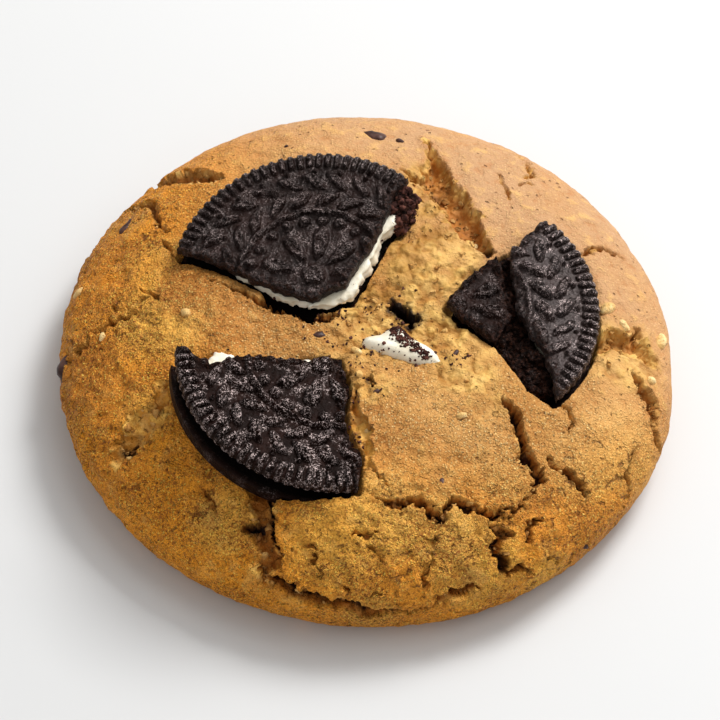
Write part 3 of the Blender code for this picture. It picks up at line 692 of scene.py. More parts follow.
def baked_crust():
    """Golden crust: browner at the front left, partly from baking and partly painted shade; sandy, pored and
    finely cracked; pale crumb where torn. Painted highlight and shade lie in its grain, and painted shade
    down in its cracks.
    """
    wires = Finish("baked_crust")
    place, mark = wires.place, wires.mark
    split = wires.node("ShaderNodeSeparateXYZ", {0: place}).outputs
    across = wires.plus(wires.times(split[0], 0.6), wires.times(split[1], 0.8))
    # the outer flank is deeper orange and brighter, and its lowest band brighter still: partly its baking,
    # partly painted light on a flank that the lamps leave in shade
    from_top = wires.vector("DISTANCE", place, (0.014, 0.008, 0.018))
    outer = wires.ease(from_top, 0.03, 0.05)
    pale = wires.mix(outer, tint(240, 186, 112), tint(255, 196, 84))
    patch = wires.ease(wires.noise(place, 14.0, 3.0, 0.55), 0.38, 0.66)
    hummock = wires.noise(place, 2.6, 4.0, 0.6)
    colour = wires.coats(
        wires.mix(outer, tint(212, 156, 86), tint(244, 158, 46)),
        (wires.ease(from_top, 0.047, 0.055), tint(255, 166, 42)),
        # pale and browned spots, partly baking and partly painted light: painted highlight and lightened
        # shade in the pale ones, painted shade and shadow in the browned ones
        (wires.times(mark("pale"), 0.8), pale),
        (wires.times(mark("browned_and_shaded"), 0.6), tint(186, 112, 44)),
        (wires.times(mark("buried"), 0.6), tint(176, 142, 84)),
        # paler and pinker towards the back right: partly its baking, partly a painted sheen of the light
        # behind
        (wires.ease(across, 0.0, 0.034), tint(192, 148, 105)),
        (wires.times(patch, 0.2), tint(226, 158, 76)),
        # painted highlight on the hummocks' tops and painted shade in their hollows, on the noise that also
        # bumps them
        (wires.ease(hummock, 0.52, 0.72, 0.0, 0.35), tint(248, 198, 112)),
        (wires.ease(hummock, 0.28, 0.46, 0.35, 0.0), tint(172, 98, 30)))

    # sand, the golden grains of the baked flour and sugar, and the pores between them. The grains' crowns are
    # lighter, partly their own tone and partly painted highlight; the gaps, sunk grains and pores are
    # darkened with painted shade, more strongly at the front.
    torn = mark("torn")
    grainy = wires.times(wires.ease(across, -0.01, 0.034, 1.2, 0.3),
                         wires.ease(wires.noise(place, 7.0, 2.0, 0.5), 0.36, 0.6, 0.7, 1.15),
                         wires.plus(1.0, wires.times(outer, 0.35)), wires.less(1.0, wires.times(torn, 0.75)))
    sand = wires.noise(place, 0.3, 2.0, 0.7)
    grit = wires.cells(wires.astray(place, 0.4, 0.25), 0.4)
    grit_tone = wires.node("ShaderNodeSeparateColor", {0: grit["Color"]}).outputs
    crown = wires.ease(grit["Distance"], 0.15, 0.5, 1.0, 0.0)
    bright = wires.times(wires.ease(grit_tone[0], 0.45, 0.9), crown)
    gaps = wires.times(wires.ease(grit["Distance"], 0.38, 0.62), wires.ease(sand, 0.42, 0.56, 1.0, 0.3))
    sunk = wires.times(wires.ease(grit_tone[1], 0.82, 0.88), crown)
    pore = wires.times(wires.ease(wires.noise(place, 0.55, 2.0, 0.6), 0.36, 0.45, 1.0, 0.0), grainy,
                       wires.plus(wires.times(outer, 0.3), 0.15))

    # pits and the fine net of crazing, darkened with painted shade
    hole = wires.cells(wires.astray(place, 0.7, 0.5), 1.3)
    chance = wires.ease(wires.node("ShaderNodeSeparateColor", {0: hole["Color"]}).outputs[0], 0.62, 0.68)
    pit = wires.times(wires.ease(hole["Distance"], 0.08, 0.22, 1.0, 0.0), chance)
    winding = wires.astray(wires.astray(place, 3.0, 1.0), 0.6, 0.5)
    seam = wires.cells(winding, 2.4, "DISTANCE_TO_EDGE")["Distance"]
    seam = wires.times(wires.ease(seam, 0.02, 0.1, 1.0, 0.0),
                       wires.ease(wires.noise(place, 1.5, 2.0, 0.6), 0.51, 0.61),
                       wires.ease(mark("crazed"), 0.05, 0.5))
    flaw = wires.most(wires.times(pit, 0.6), wires.times(seam, 0.8))

    # crumb, darker on the older, browner side; lighter on its lumps' crests and darker down between them,
    # which is painted highlight and painted shade; darker too in the browned spots, partly painted shade
    crest = wires.ease(mark("crest"), 0.2, 0.8)
    mottle = wires.ease(wires.noise(place, 1.6, 2.0, 0.5), 0.42, 0.66)
    crumb = wires.coats(
        wires.mix(wires.ease(across, -0.022, -0.008),
                  wires.mix(crest, tint(204, 134, 44), tint(244, 188, 88)),
                  wires.mix(crest, tint(162, 110, 44), tint(228, 182, 100))),
        (wires.times(mottle, 0.35), tint(236, 196, 120)),
        (wires.times(mark("browned_and_shaded"), 0.65), tint(158, 110, 44)))
    deep = mark("deep")
    colour = wires.coats(
        colour,
        # painted highlight on the grains' crowns, painted shade in the gaps, sunk grains and pores
        (wires.times(bright, grainy, 0.88), wires.mix(outer, tint(255, 216, 148), tint(255, 208, 92))),
        (wires.times(wires.most(gaps, sunk), grainy, 0.45), tint(156, 86, 22)),
        (pore, tint(142, 78, 20)),
        # painted shade in the pits and the hairline cracks of the crazing
        (wires.times(flaw, 0.8), tint(110, 58, 16)),
        (wires.times(mark("lip"), 0.2), tint(170, 100, 32)),
        (torn, crumb),
        # painted shade down in the cracks, darker the deeper and narrower they are, and near black in the
        # holes
        (wires.ease(deep, 0.1, 0.5, 0.0, 0.8), tint(168, 98, 34)),
        (wires.ease(deep, 0.6, 1.0), tint(54, 24, 8)),
        (mark("hole"), tint(22, 8, 4)))
    normal = wires.bumps(
        (wires.times(sand, grainy), 0.3, 1.0),
        (wires.times(wires.plus(crown, wires.times(grit_tone[2], 0.6)), grainy), 0.18, 1.0),
        (wires.less(1.0, flaw), 0.6, 1.0),
        (wires.times(hummock, wires.less(1.0, wires.times(torn, 0.8))), 1.5, 0.7),
        (wires.times(wires.noise(place, 1.2, 1.0, 0.5), torn), 0.9, 0.7))
    return wires.done(colour, 0.62, 0.2, normal)


dough.data.materials.append(baked_crust())
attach(dough, "root")
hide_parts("dough")

# Pressed top wafers ---------------------------------------------------------------------------------------
# The upper halves of dark cocoa sandwich biscuits, stamped from sheet dough in an engraved roller and baked
# hard, then snapped by hand. The stamp leaves fine ribs round the rim, two rows of wheat grains that lean
# against each other, a ring, a row of beads and a rosette. The snapped edges are coarse and crumbly.
RIB_COUNT = 90
RIB_LENGTH = 2.8
RIB_RISE = 0.75
RIM_TOOTH = 0.2
MOTIF_RISE = 1.0
DOT_RADIUS = 19.0     # of the row of dots, the rows of wheat, the ring, the row of beads and the rosette
OUTER_WHEAT_RADIUS = 17.2
INNER_WHEAT_RADIUS = 13.9
INNER_WHEAT_SHARE = 0.7857143    # 22 grains in the inner row for 28 in the outer one
RING_RADIUS = 11.6
RING_HALF_WIDTH = 0.5
BEAD_RADIUS = 9.9
PETAL_RADIUS = 5.6
GROUND_DROP = 0.45    # of the stamp's ground under the wafer's full height
FRAGMENT_DROP = 0.4
EDGE_ROUNDING = 0.16


def fill_outline(outline, spacing):
    """Return an even mesh of triangles inside a closed outline; the outline's points come first."""
    corners = np.array(outline)
    low = corners.min(axis=0)
    high = corners.max(axis=0)
    row_gap = spacing * math.sqrt(3) / 2
    rows = np.arange(low[1], high[1], row_gap)
    grid = np.stack(np.meshgrid(np.arange(low[0], high[0], spacing), rows), axis=-1)
    grid[1::2, :, 0] += spacing / 2
    grid = grid.reshape(-1, 2)
    grid = grid[outline_distance(grid, outline) < -0.6 * spacing]
    points = np.concatenate([corners, grid])
    return points, joined_triangles(points, len(corners))


def worn_outline(arc, broken_edge, radius, spacing, jag, seed):
    """Return a layer's outline with its broken edge made uneven, and which of its points are on the rim."""
    path = []
    on_rim = []
    if arc is not None:
        start, end = (math.radians(value) for value in arc)
        steps = math.ceil((end - start) * radius / spacing)
        turns = start + (end - start) * np.arange(steps + 1) / steps
        path += [(radius * math.cos(turn), radius * math.sin(turn)) for turn in turns]
        on_rim += [True] * len(path)
    corners = ([path[-1]] if path else []) + list(broken_edge) + ([path[0]] if path else [broken_edge[0]])
    for number in range(len(corners) - 1):
        start = np.array(corners[number])
        step = np.array(corners[number + 1]) - start
        steps = max(1, round(float(np.linalg.norm(step)) / spacing))
        for part in range(steps):
            if path and number == 0 and part == 0:
                continue
            path.append(tuple(start + step * part / steps))
            on_rim.append(False)
    path = np.array(path)
    on_rim = np.array(on_rim)
    solid = np.concatenate([path, np.full((len(path), 1), float(seed))], axis=1)
    shift = columns(rough, solid, 2.4, seed, seed + 5)
    shift += 0.5 * columns(lumps, solid, 0.7, seed + 11, seed + 13)
    return path + jag * shift * (~on_rim)[:, None], on_rim


def broken_plate(arc, broken_edge, radius, top, thickness, spacing, jag, bulge, seed, walls=7):
    """Return a plate's points, faces and marks: its top, a worn wall and a flat underside."""
    outline, on_rim = worn_outline(arc, broken_edge, radius, spacing, jag, seed)
    flat, faces = fill_outline(outline, spacing)
    count = len(outline)
    edge_away = -outline_distance(flat, outline)
    broken_away = np.full(len(flat), 1e9)
    for corner in outline[~on_rim]:
        broken_away = np.minimum(broken_away, np.hypot(flat[:, 0] - corner[0], flat[:, 1] - corner[1]))
    rounding = EDGE_ROUNDING * (1 - np.clip(edge_away / 0.45, 0.0, 1.0)) ** 2
    points = [np.column_stack([flat, top - rounding])]
    rim = np.zeros(len(flat))
    rim[:count] = on_rim
    marks = {"top": [np.ones(len(flat))], "broken": [1 - ease(broken_away, 0.1, 1.8)], "rim": [rim]}
    ahead = np.roll(outline, -1, axis=0) - np.roll(outline, 1, axis=0)
    ahead /= np.linalg.norm(ahead, axis=1, keepdims=True)
    outside = np.column_stack([ahead[:, 1], -ahead[:, 0]])
    under = joined_triangles(outline, count)
    upper = np.arange(count)
    total = len(flat)
    for wall in range(1, walls + 1):
        share = wall / walls
        depth = top - EDGE_ROUNDING - (thickness - EDGE_ROUNDING) * share
        ring = np.column_stack([outline, np.full(count, depth)])
        lumpy = rough(ring, 1.6, seed + 21) * 1.1 + 0.6 * lumps(ring, 0.6, seed + 25)
        push = np.where(on_rim, 0.0, jag * 0.8 * lumpy) + bulge * math.sin(math.pi * share)
        push = push * (1.0 if wall < walls else 0.5) - (0.15 if wall == walls else 0.0)
        ring[:, :2] += outside * push[:, None]
        points.append(ring)
        for mark, values in (("top", np.zeros(count)), ("broken", (~on_rim).astype(float)),
                             ("rim", on_rim.astype(float))):
            marks[mark].append(values)
        lower = total + np.arange(count)
        total += count
        for here in range(count):
            after = (here + 1) % count
            faces.append((upper[here], lower[here], lower[after], upper[after]))
        upper = lower
    faces += [tuple(int(upper[corner]) for corner in face)[::-1] for face in under]
    return np.concatenate(points), faces, {mark: np.concatenate(values) for mark, values in marks.items()}


class ShapeTree:
    """A geometry tree with named inputs, which ends in Realize Instances and Set Material."""

    def __init__(self, name, sizes):
        self.tree = bpy.data.node_groups.new(name, "GeometryNodeTree")
        self.tree.interface.new_socket("Geometry", in_out="INPUT", socket_type="NodeSocketGeometry")
        self.names = {}
        for size, value in sizes.items():
            kind = "NodeSocketInt" if isinstance(value, int) else "NodeSocketFloat"
            socket = self.tree.interface.new_socket(size, in_out="INPUT", socket_type=kind)
            socket.default_value = value
            self.names[size] = socket.identifier
        finish = self.tree.interface.new_socket("Finish", in_out="INPUT", socket_type="NodeSocketMaterial")
        self.names["Finish"] = finish.identifier
        self.tree.interface.new_socket("Geometry", in_out="OUTPUT", socket_type="NodeSocketGeometry")
        self.wires = Wires(self.tree)
        self.given = self.wires.node("NodeGroupInput")
        self.result = self.wires.node("NodeGroupOutput")

    def end(self, shape):
        real = self.wires.node("GeometryNodeRealizeInstances", {"Geometry": shape})
        done = self.wires.node("GeometryNodeSetMaterial", {"Geometry": real.outputs[0],
                                                            "Material": self.given.outputs["Finish"]})
        self.wires.join(done.outputs[0], self.result.inputs[0])

    def apply(self, piece, finish, place=None, **sizes):
        """Run the tree on a piece, make the result its plain mesh, and put it in its place."""
        modifier = piece.modifiers.new(self.tree.name, "NODES")
        modifier.node_group = self.tree
        modifier[self.names["Finish"]] = finish
        for size, value in sizes.items():
            modifier[self.names[size.replace("_", " ").capitalize()]] = value
        mesh = bpy.data.meshes.new_from_object(piece.evaluated_get(bpy.context.evaluated_depsgraph_get()))
        piece.modifiers.clear()
        old, piece.data = piece.data, mesh
        bpy.data.meshes.remove(old)
        mesh.name = piece.name
        if place is not None:
            moved = place.copy()
            moved.translation = moved.translation * METRES
            mesh.transform(moved)
        mesh.shade_smooth()


def stamp_tree():
    """Build the tree that presses the stamp's ribs, rows of wheat grains, beads and rosette into a wafer."""
    stamp = ShapeTree("wafer_stamp", {
        "Rim radius": WAFER_RADIUS, "Rib count": RIB_COUNT, "Rib length": RIB_LENGTH, "Rib rise": RIB_RISE,
        "Rim tooth": RIM_TOOTH, "Grain count": 28, "Bead count": 22, "Petal count": 9, "Relief": MOTIF_RISE,
        "Turn": 0.0, "Wear": 0.4})
    wires = stamp.wires
    given = stamp.given.outputs
    spot = wires.vector("SCALE", wires.node("GeometryNodeInputPosition").outputs[0], scale=1 / METRES)

    def polar(at):
        """Return the parts, the distance from the middle and the turned angle of a place."""
        parts = wires.node("ShaderNodeSeparateXYZ", {0: at}).outputs
        out = wires.math("SQRT", wires.plus(wires.times(parts[0], parts[0]), wires.times(parts[1], parts[1])))
        return parts, out, wires.plus(wires.math("ARCTAN2", parts[1], parts[0]), given["Turn"])

    split, true_radius, true_angle = polar(spot)
    radius, angle = polar(wires.astray(spot, 2.2 / METRES, 1.1 / METRES))[1:]

    def named(mark):
        return wires.node("GeometryNodeInputNamedAttribute", {"Name": mark}, data_type="FLOAT").outputs[0]

    def beside(count, at_radius):
        """Return the distance along a circle from the nearest of count spokes."""
        pitch = wires.math("DIVIDE", 2 * math.pi, count)
        turned = wires.math("WRAP", angle, wires.times(pitch, 0.5), wires.times(pitch, -0.5))
        return wires.times(turned, at_radius)

    def beyond(at_radius):
        return wires.less(radius, at_radius)

    def squared(value, size):
        share = wires.math("DIVIDE", value, size)
        return wires.times(share, share)

    def hump(measure, low, high):
        return wires.ease(measure, low, high, 1.0, 0.0)

    def dot(count, at_radius, size, low):
        """Return a row of round dots."""
        measure = wires.plus(squared(beside(count, at_radius), size), squared(beyond(at_radius), size))
        return hump(measure, low, 1.0)

    def wheat(at_radius, lean, half_wide, half_long, share):
        """Return a row of plump grains that all lean one way, with a crease down each."""
        side = beside(wires.times(given["Grain count"], share), at_radius)
        side = wires.less(side, wires.times(beyond(at_radius), lean))
        measure = wires.plus(squared(side, half_wide), squared(beyond(at_radius), half_long))
        crease = hump(wires.math("ABSOLUTE", side), 0.05, 0.5)
        return wires.times(hump(measure, 0.3, 1.1), wires.less(1.0, wires.times(crease, 0.25)))

    # ribs round the rim, which end in its toothed edge
    crest = wires.ease(wires.math("COSINE", wires.times(true_angle, given["Rib count"])), -0.7, 0.35)
    before_end = wires.less(given["Rim radius"], true_radius)
    past_start = wires.less(given["Rib length"], before_end)
    rib = wires.times(crest, wires.times(wires.ease(past_start, -0.1, 0.5),
                                         wires.ease(before_end, -0.1, 0.5, 0.45, 1.0)))
    verge = wires.times(wires.ease(before_end, 0.0, 0.9, 1.0, 0.0), -0.25)

    # motifs, from the outside in
    petal = wires.math("DIVIDE", beside(given["Petal count"], radius), wires.times(radius, 0.22))
    petal = wires.plus(wires.times(petal, petal), squared(beyond(PETAL_RADIUS), 3.0))
    ring = hump(wires.math("ABSOLUTE", beyond(RING_RADIUS)), RING_HALF_WIDTH * 0.2, RING_HALF_WIDTH * 1.5)
    motifs = wires.most(
        wheat(OUTER_WHEAT_RADIUS, 0.9, 1.25, 1.65, 1.0),
        wheat(INNER_WHEAT_RADIUS, -0.9, 1.25, 1.65, INNER_WHEAT_SHARE),
        dot(given["Bead count"], BEAD_RADIUS, 1.05, 0.1),
        wires.times(hump(petal, 0.35, 1.1), wires.less(1.0, wires.times(hump(petal, 0.0, 0.35), 0.4))),
        hump(radius, 1.2, 2.1), dot(given["Grain count"], DOT_RADIUS, 0.42, 0.2), ring)

    # worn patches, the sheet's own roughness and the crumbled edge
    uneven = wires.less(wires.noise(spot, 2.4 / METRES, 3.0, 0.65), 0.5)
    fine = wires.less(wires.noise(spot, 0.6 / METRES, 2.0, 0.65), 0.5)
    faint = wires.times(wires.ease(wires.noise(spot, 6.0 / METRES, 2.0, 0.5), 0.45, 0.65), given["Wear"])
    relief = wires.times(motifs, given["Relief"], wires.less(1.0, faint),
                         wires.plus(wires.times(uneven, 2.2), 0.95))
    ribs = wires.times(rib, given["Rib rise"], wires.plus(uneven, 0.95))
    pattern = wires.most(motifs, rib)
    lumpy = wires.plus(wires.times(uneven, 0.5), wires.times(fine, 0.34))
    rougher = wires.plus(wires.times(pattern, 0.7), 0.2, faint)
    chipped = wires.times(named("broken"), wires.ease(wires.noise(spot, 1.5 / METRES, 2.0, 0.6), 0.35, 0.7))
    raised = wires.less(wires.plus(relief, ribs, verge, wires.times(lumpy, rougher)),
                        wires.times(chipped, 0.6))
    rise = wires.times(raised, named("top"), METRES)
    inset = wires.times(wires.less(1.0, crest), given["Rim tooth"], named("rim"), -METRES)
    inset = wires.math("DIVIDE", inset, wires.most(true_radius, 1.0))
    shift = wires.node("ShaderNodeCombineXYZ", {0: wires.times(split[0], inset),
                                                1: wires.times(split[1], inset), 2: rise}).outputs[0]
    marked = wires.node("GeometryNodeStoreNamedAttribute",
                        {"Geometry": given["Geometry"], "Name": "raised", "Value": pattern},
                        data_type="FLOAT", domain="POINT")
    pressed_shape = wires.node("GeometryNodeSetPosition", {"Geometry": marked.outputs[0], "Offset": shift})
    stamp.end(pressed_shape.outputs[0])
    return stamp


def baked_cocoa(name, glint_share, ground, shine):
    """Dark cocoa wafer: almost black, smooth on the stamp's ground and rough where it rises, with painted
    white glints there, painted shade in the hollows of its lumps and, on the base wafers, painted shade in
    the gap under the cream.
    """
    wires = Finish(name)
    place = wires.place
    raised, broken, gap = (wires.mark(mark) for mark in ("raised", "broken", "gap"))
    lump = wires.noise(place, 0.8, 3.0, 0.65)
    glint_area = wires.most(raised, wires.ease(wires.noise(place, 2.2, 2.0, 0.6), 0.48, 0.64, 0.0, 0.8))
    painted_glints = wires.times(wires.ease(wires.noise(place, 0.2, 1.0, 0.6), 0.53, 0.59), glint_share, glint_area,
                        wires.ease(lump, 0.4, 0.6))
    crumbly = wires.mix(wires.ease(wires.noise(place, 0.55, 2.0, 0.6), 0.42, 0.68), tint(14, 7, 5),
                        tint(64, 38, 28))
    colour = wires.coats(
        wires.mix(wires.ease(wires.noise(place, 4.0, 3.0, 0.6), 0.35, 0.7), tint(18, 8, 5), tint(34, 17, 12)),
        # painted shade in the hollows of the lumps that the bump raises, and painted white glints on the
        # lumps' tops
        (wires.ease(lump, 0.3, 0.46, 0.7, 0.0), tint(8, 4, 3)), (painted_glints, tint(228, 206, 201)),
        # painted shade in the base wafers' gap under the cream
        (wires.times(broken, 0.75), crumbly), (gap, tint(5, 3, 2)))
    matt = wires.most(wires.ease(raised, 0.1, 0.6, ground, 0.3), wires.times(broken, 0.4),
                      wires.times(gap, 0.9))
    uneven = wires.plus(wires.times(wires.most(raised, broken), 0.7), 0.3)
    normal = wires.bumps((wires.times(wires.noise(place, 0.3, 1.0, 0.6), uneven), 0.3, 1.0),
                         (wires.times(lump, uneven), 1.2, 1.0))
    return wires.done(colour, matt, shine, normal, sheen=(255, 236, 232))


stamp = stamp_tree()
# each wafer's mesh spacing, the stamp's turn, share of painted glints, the ground's roughness, shine and wear
for number, (where, layer, spacing, turn, glint_share, ground, shine, wear) in enumerate((
        ("back_left", "top_wafer", 0.21, 0.0, 0.4, 0.32, 0.28, 0.3),
        ("front_left", "top_wafer", 0.21, 0.4, 1.0, 0.42, 0.06, 0.4),
        ("right", "rim_wafer", 0.19, 0.9, 0.9, 0.38, 0.46, 0.3),
        ("right", "inner_wafer", 0.21, 0.9, 0.4, 0.34, 0.1, 0.4))):
    piece = SANDWICH_PIECES[where]
    top = -GROUND_DROP - (FRAGMENT_DROP if layer == "inner_wafer" else 0.0)
    points, faces, marks = broken_plate(*piece[layer], WAFER_RADIUS, top, WAFER_THICKNESS + top, spacing,
                                        jag=0.3, bulge=0.0, seed=200 + 40 * number)
    wafer = new_piece(f"{where}_pressed_{layer}", points, faces, marks)
    stamp.apply(wafer, baked_cocoa(f"{where}_{layer}_cocoa", glint_share, ground, shine), piece_frame(piece),
                turn=turn, wear=wear)
    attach(wafer, "root")
    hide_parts(f"{where}_{layer}")

# Base wafers ----------------------------------------------------------------------------------------------
# The lower halves of the same biscuits. Their stamped side faces down into the dough, so only their plain
# rim and their coarse broken edges show under the cream.
base_cocoa = baked_cocoa("base_cocoa", glint_share=0.12, ground=0.42, shine=0.06)
for number, (where, piece) in enumerate(SANDWICH_PIECES.items()):
    points, faces, marks = broken_plate(*piece["base_wafer"], WAFER_RADIUS, BASE_TOP, WAFER_THICKNESS,
                                        spacing=0.42, jag=0.45, bulge=0.0, seed=500 + 40 * number)
    # the gap mark: painted shade on the base's top face under the cream and upper wafer, kept off its rim
    marks["gap"] = ease(points[:, 2], BASE_TOP - 0.6, BASE_TOP - 0.1)
    marks["gap"] *= 1 - ease(np.hypot(points[:, 0], points[:, 1]), WAFER_RADIUS - 1.0, WAFER_RADIUS - 0.3)
    base = new_piece(f"{where}_snapped_base", points, faces, marks, piece_frame(piece))
    base.data.materials.append(base_cocoa)
    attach(base, "root")
    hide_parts(f"{where}_base_wafer")

# Cream layers and sliver ----------------------------------------------------------------------------------
# Firm white sugar cream, spread between the wafers and set. It broke with them, and the heat let it slump
# out a little past the broken edges. One sliver fell loose and baked into the middle of the top.


def set_cream():
    """Warm white cream with a faint sheen, smeared and dusted with cocoa crumbs."""
    wires = Finish("set_cream")
    place = wires.place
    dust = wires.ease(wires.noise(place, 0.7, 3.0, 0.7), 0.66, 0.72)
    tone = wires.ease(wires.noise(place, 3.0, 3.0, 0.6), 0.35, 0.7)
    colour = wires.coats(wires.mix(tone, tint(240, 234, 216), tint(224, 212, 184)),
                         (wires.times(dust, 0.8), tint(92, 66, 50)))
    return wires.done(colour, 0.5, normal=wires.bumps((wires.noise(place, 0.9, 3.0, 0.6), 0.25, 0.6)))


creams = {}
cream_finish = set_cream()
for number, (where, piece) in enumerate(SANDWICH_PIECES.items()):
    points, faces, marks = broken_plate(*piece["cream"], CREAM_RADIUS, CREAM_TOP + 0.1, CREAM_THICKNESS + 0.2,
                                        spacing=0.42, jag=0.5, bulge=0.1, seed=700 + 40 * number)
    if where == "back_left":    # squeezed thinner towards its left, and slumped further out at the front
        squeezed = 0.42 + 0.58 * ease(points[:, 0], 2.0, 9.0)
        points[:, 2] = CREAM_TOP + 0.1 + (points[:, 2] - CREAM_TOP - 0.1) * squeezed
    swell = rough(points * np.array([1.0, 1.0, 0.4]), 4.5, 731 + number) * marks["broken"]
    out = points[:, :2] - points[:, :2].mean(axis=0)
    slumped = 0.7 * swell - 0.15
    if where == "back_left":
        slumped += 0.65 * marks["broken"] * ease(-points[:, 0], -1.0, 3.0) * ease(points[:, 0], -15.0, -12.0)
    points[:, :2] += out / np.linalg.norm(out, axis=1, keepdims=True) * slumped[:, None]
    cream = new_piece(f"{where}_set_cream", points, faces, marks, piece_frame(piece))
    cream.data.materials.append(cream_finish)
    creams[where] = cream, points
    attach(cream, "root")
    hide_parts(f"{where}_cream")

SLIVER_OUTLINE = [(-0.6, -6.4), (-0.3, -5.5), (0.6, -5.2), (2.1, -4.9), (3, -4.1), (4, -3.6), (5.3, -3.5),
                  (6.2, -4.6), (7.5, -5.7), (9.3, -6.8), (10.8, -8.1), (11.4, -9.3), (13.1, -11),
                  (10.8, -11.1), (8.4, -10.6), (6.1, -10), (4.2, -9.2), (2.1, -8.4), (0.3, -7.7),
                  (-0.5, -7.2)]
SLIVER_TOP = 20.9
SLIVER_DEPTH = 2.6
points, faces, marks = broken_plate(None, SLIVER_OUTLINE, 0.0, SLIVER_TOP, SLIVER_DEPTH, spacing=0.22,
                                    jag=0.12, bulge=0.1, seed=901, walls=9)
inward = np.clip(-outline_distance(points[:, :2], SLIVER_OUTLINE) / 1.7, 0.0, 1.0)
points[:, 2] += marks["top"] * (1.6 * (np.sqrt(1 - (1 - inward) ** 2) - 1) + 0.25 * rough(points, 2.6, 911))
points[:, 2] -= marks["top"] * 0.05 * np.maximum(points[:, 0] - 6.0, 0.0)
points[:, 2] -= (1 - marks["top"]) * 1.0 * (points[:, 2] > SLIVER_TOP - 1.1)
sliver = new_piece("loose_cream_sliver", points, faces, marks)
sliver.data.materials.append(cream_finish)
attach(sliver, "root")
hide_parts("cream_sliver")

# Crushed wafer --------------------------------------------------------------------------------------------
# Where the right piece's upper wafer lost its corner, and at the back left piece's right end, what is left
# of a wafer is a bank of coarse dark crumb that still sticks to the cream.
CRUSHED_BANKS = {
    "right": (-2.5, [(3.9, -2.6), (6.2, -6), (8.4, -9.4), (10.4, -12.2), (12.2, -14.6), (13.9, -14),
        (14.2, -10.4), (13, -7.2), (11.2, -4.2), (10.2, -1.4), (9.8, 2), (9.6, 6), (9.4, 10.6), (7.2, 9.2),
        (7, 6), (7.4, 2), (7.6, -1), (6.4, -3.2)]),
    "back_left": (-2.3, [(11.6, 9.8), (13, 9.8), (14.4, 11), (15.2, 13), (15.2, 14.8), (14.2, 16.2),
        (12.8, 16), (12.2, 14), (11.8, 11.8)]),
}
BANK_THICKNESS = 3.2
crushed_cocoa = baked_cocoa("crushed_cocoa", glint_share=0.3, ground=0.5, shine=0.06)
banks = {}
for number, (where, (top, outline)) in enumerate(CRUSHED_BANKS.items()):
    points, faces, marks = broken_plate(None, outline, 0.0, top, BANK_THICKNESS, spacing=0.26, jag=0.5,
                                        bulge=0.1, seed=941 + 30 * number)
    points[:, 2] += marks["top"] * (1.1 * rough(points, 2.6, 947)
                                    + 0.55 * (0.4 - granules(points[:, :2], 1.2, 953)[1]))
    marks["broken"] = np.ones(len(points))
    crushed = new_piece(f"{where}_crushed_wafer", points, faces, marks, piece_frame(SANDWICH_PIECES[where]))
    crushed.data.materials.append(crushed_cocoa)
    banks[where] = crushed
    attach(crushed, "root")

# Torn crumb -----------------------------------------------------------------------------------------------
# Granules of the dough's inside that stand loose along the cracks and over the open middle, where the crust
# tore away from them while it was still soft. They are of baked dough and cling to it.


def crumb_tree():
    """Build the tree that strews rough granules over the parts of a skin that its strewn mark names."""
    strew = ShapeTree("strewn_crumbs", {"Per square mm": 1.0, "Smallest": 0.5, "Largest": 1.3,
                                        "Flatness": 0.75, "Jagged": 0.3, "Jag size": 0.7, "Seed": 3})
    wires = strew.wires
    given = strew.given.outputs

    def chance(seed, low=0.0, high=1.0):
        """Return a random number for each granule."""
        return wires.node("FunctionNodeRandomValue", {2: low, 3: high, "Seed": seed},
                          data_type="FLOAT").outputs[1]

    mark = wires.node("GeometryNodeInputNamedAttribute", {"Name": "strewn"}, data_type="FLOAT").outputs[0]
    spots = wires.node("GeometryNodeDistributePointsOnFaces",
                       {"Mesh": given["Geometry"], "Density": wires.times(mark, given["Per square mm"], 1e6),
                        "Seed": given["Seed"]}, distribute_method="RANDOM")
    ball = wires.node("GeometryNodeMeshIcoSphere", {"Radius": 0.5 * METRES, "Subdivisions": 2})
    spin = wires.node("FunctionNodeRandomValue", {0: (-0.5, -0.5, -3.14), 1: (0.5, 0.5, 3.14), "Seed": 5},
                      data_type="FLOAT_VECTOR").outputs[0]
    share = chance(9)
    size = wires.plus(given["Smallest"], wires.times(share, share, share,
                                                     wires.less(given["Largest"], given["Smallest"])))
    sizes = wires.node("ShaderNodeCombineXYZ", {0: size, 1: wires.times(size, chance(21, 0.7, 1.2)),
                                                2: wires.times(size, given["Flatness"])}).outputs[0]
    strewn = wires.node("GeometryNodeInstanceOnPoints", {"Points": spots.outputs["Points"], "Scale": sizes,
                                                         "Instance": ball.outputs["Mesh"], "Rotation": spin})
    real = wires.node("GeometryNodeRealizeInstances", {"Geometry": strewn.outputs[0]})
    spot = wires.node("GeometryNodeInputPosition").outputs[0]
    push = wires.vector("SCALE", wires.cloud(spot, wires.math("DIVIDE", 1 / METRES, given["Jag size"]), 1.0),
                        scale=wires.times(given["Jagged"], 3.0 * METRES))
    jagged = wires.node("GeometryNodeSetPosition", {"Geometry": real.outputs[0], "Offset": push})
    strew.end(jagged.outputs[0])
    return strew


def torn_dough(name, low, high):
    """Crumb from inside the dough: matt, mottled golden brown to pale yellow, with painted shade down in the
    tears and in the hollows of its sand.
    """
    wires = Finish(name)
    sand = wires.noise(wires.place, 0.36, 2.0, 0.7)
    tone = wires.ease(wires.noise(wires.place, 2.2, 3.0, 0.65), 0.38, 0.66)
    colour = wires.coats(wires.mix(tone, low, high),
                         # painted shade down in the tears, and in the hollows of the sand bump
                         (wires.ease(wires.mark("deep"), 0.2, 0.8, 0.0, 0.85), tint(128, 74, 24)),
                         (wires.times(wires.ease(sand, 0.35, 0.48, 1.0, 0.0), 0.4), tint(128, 76, 26)))
    return wires.done(colour, 0.75, 0.25, wires.bumps((sand, 0.3, 0.8)))


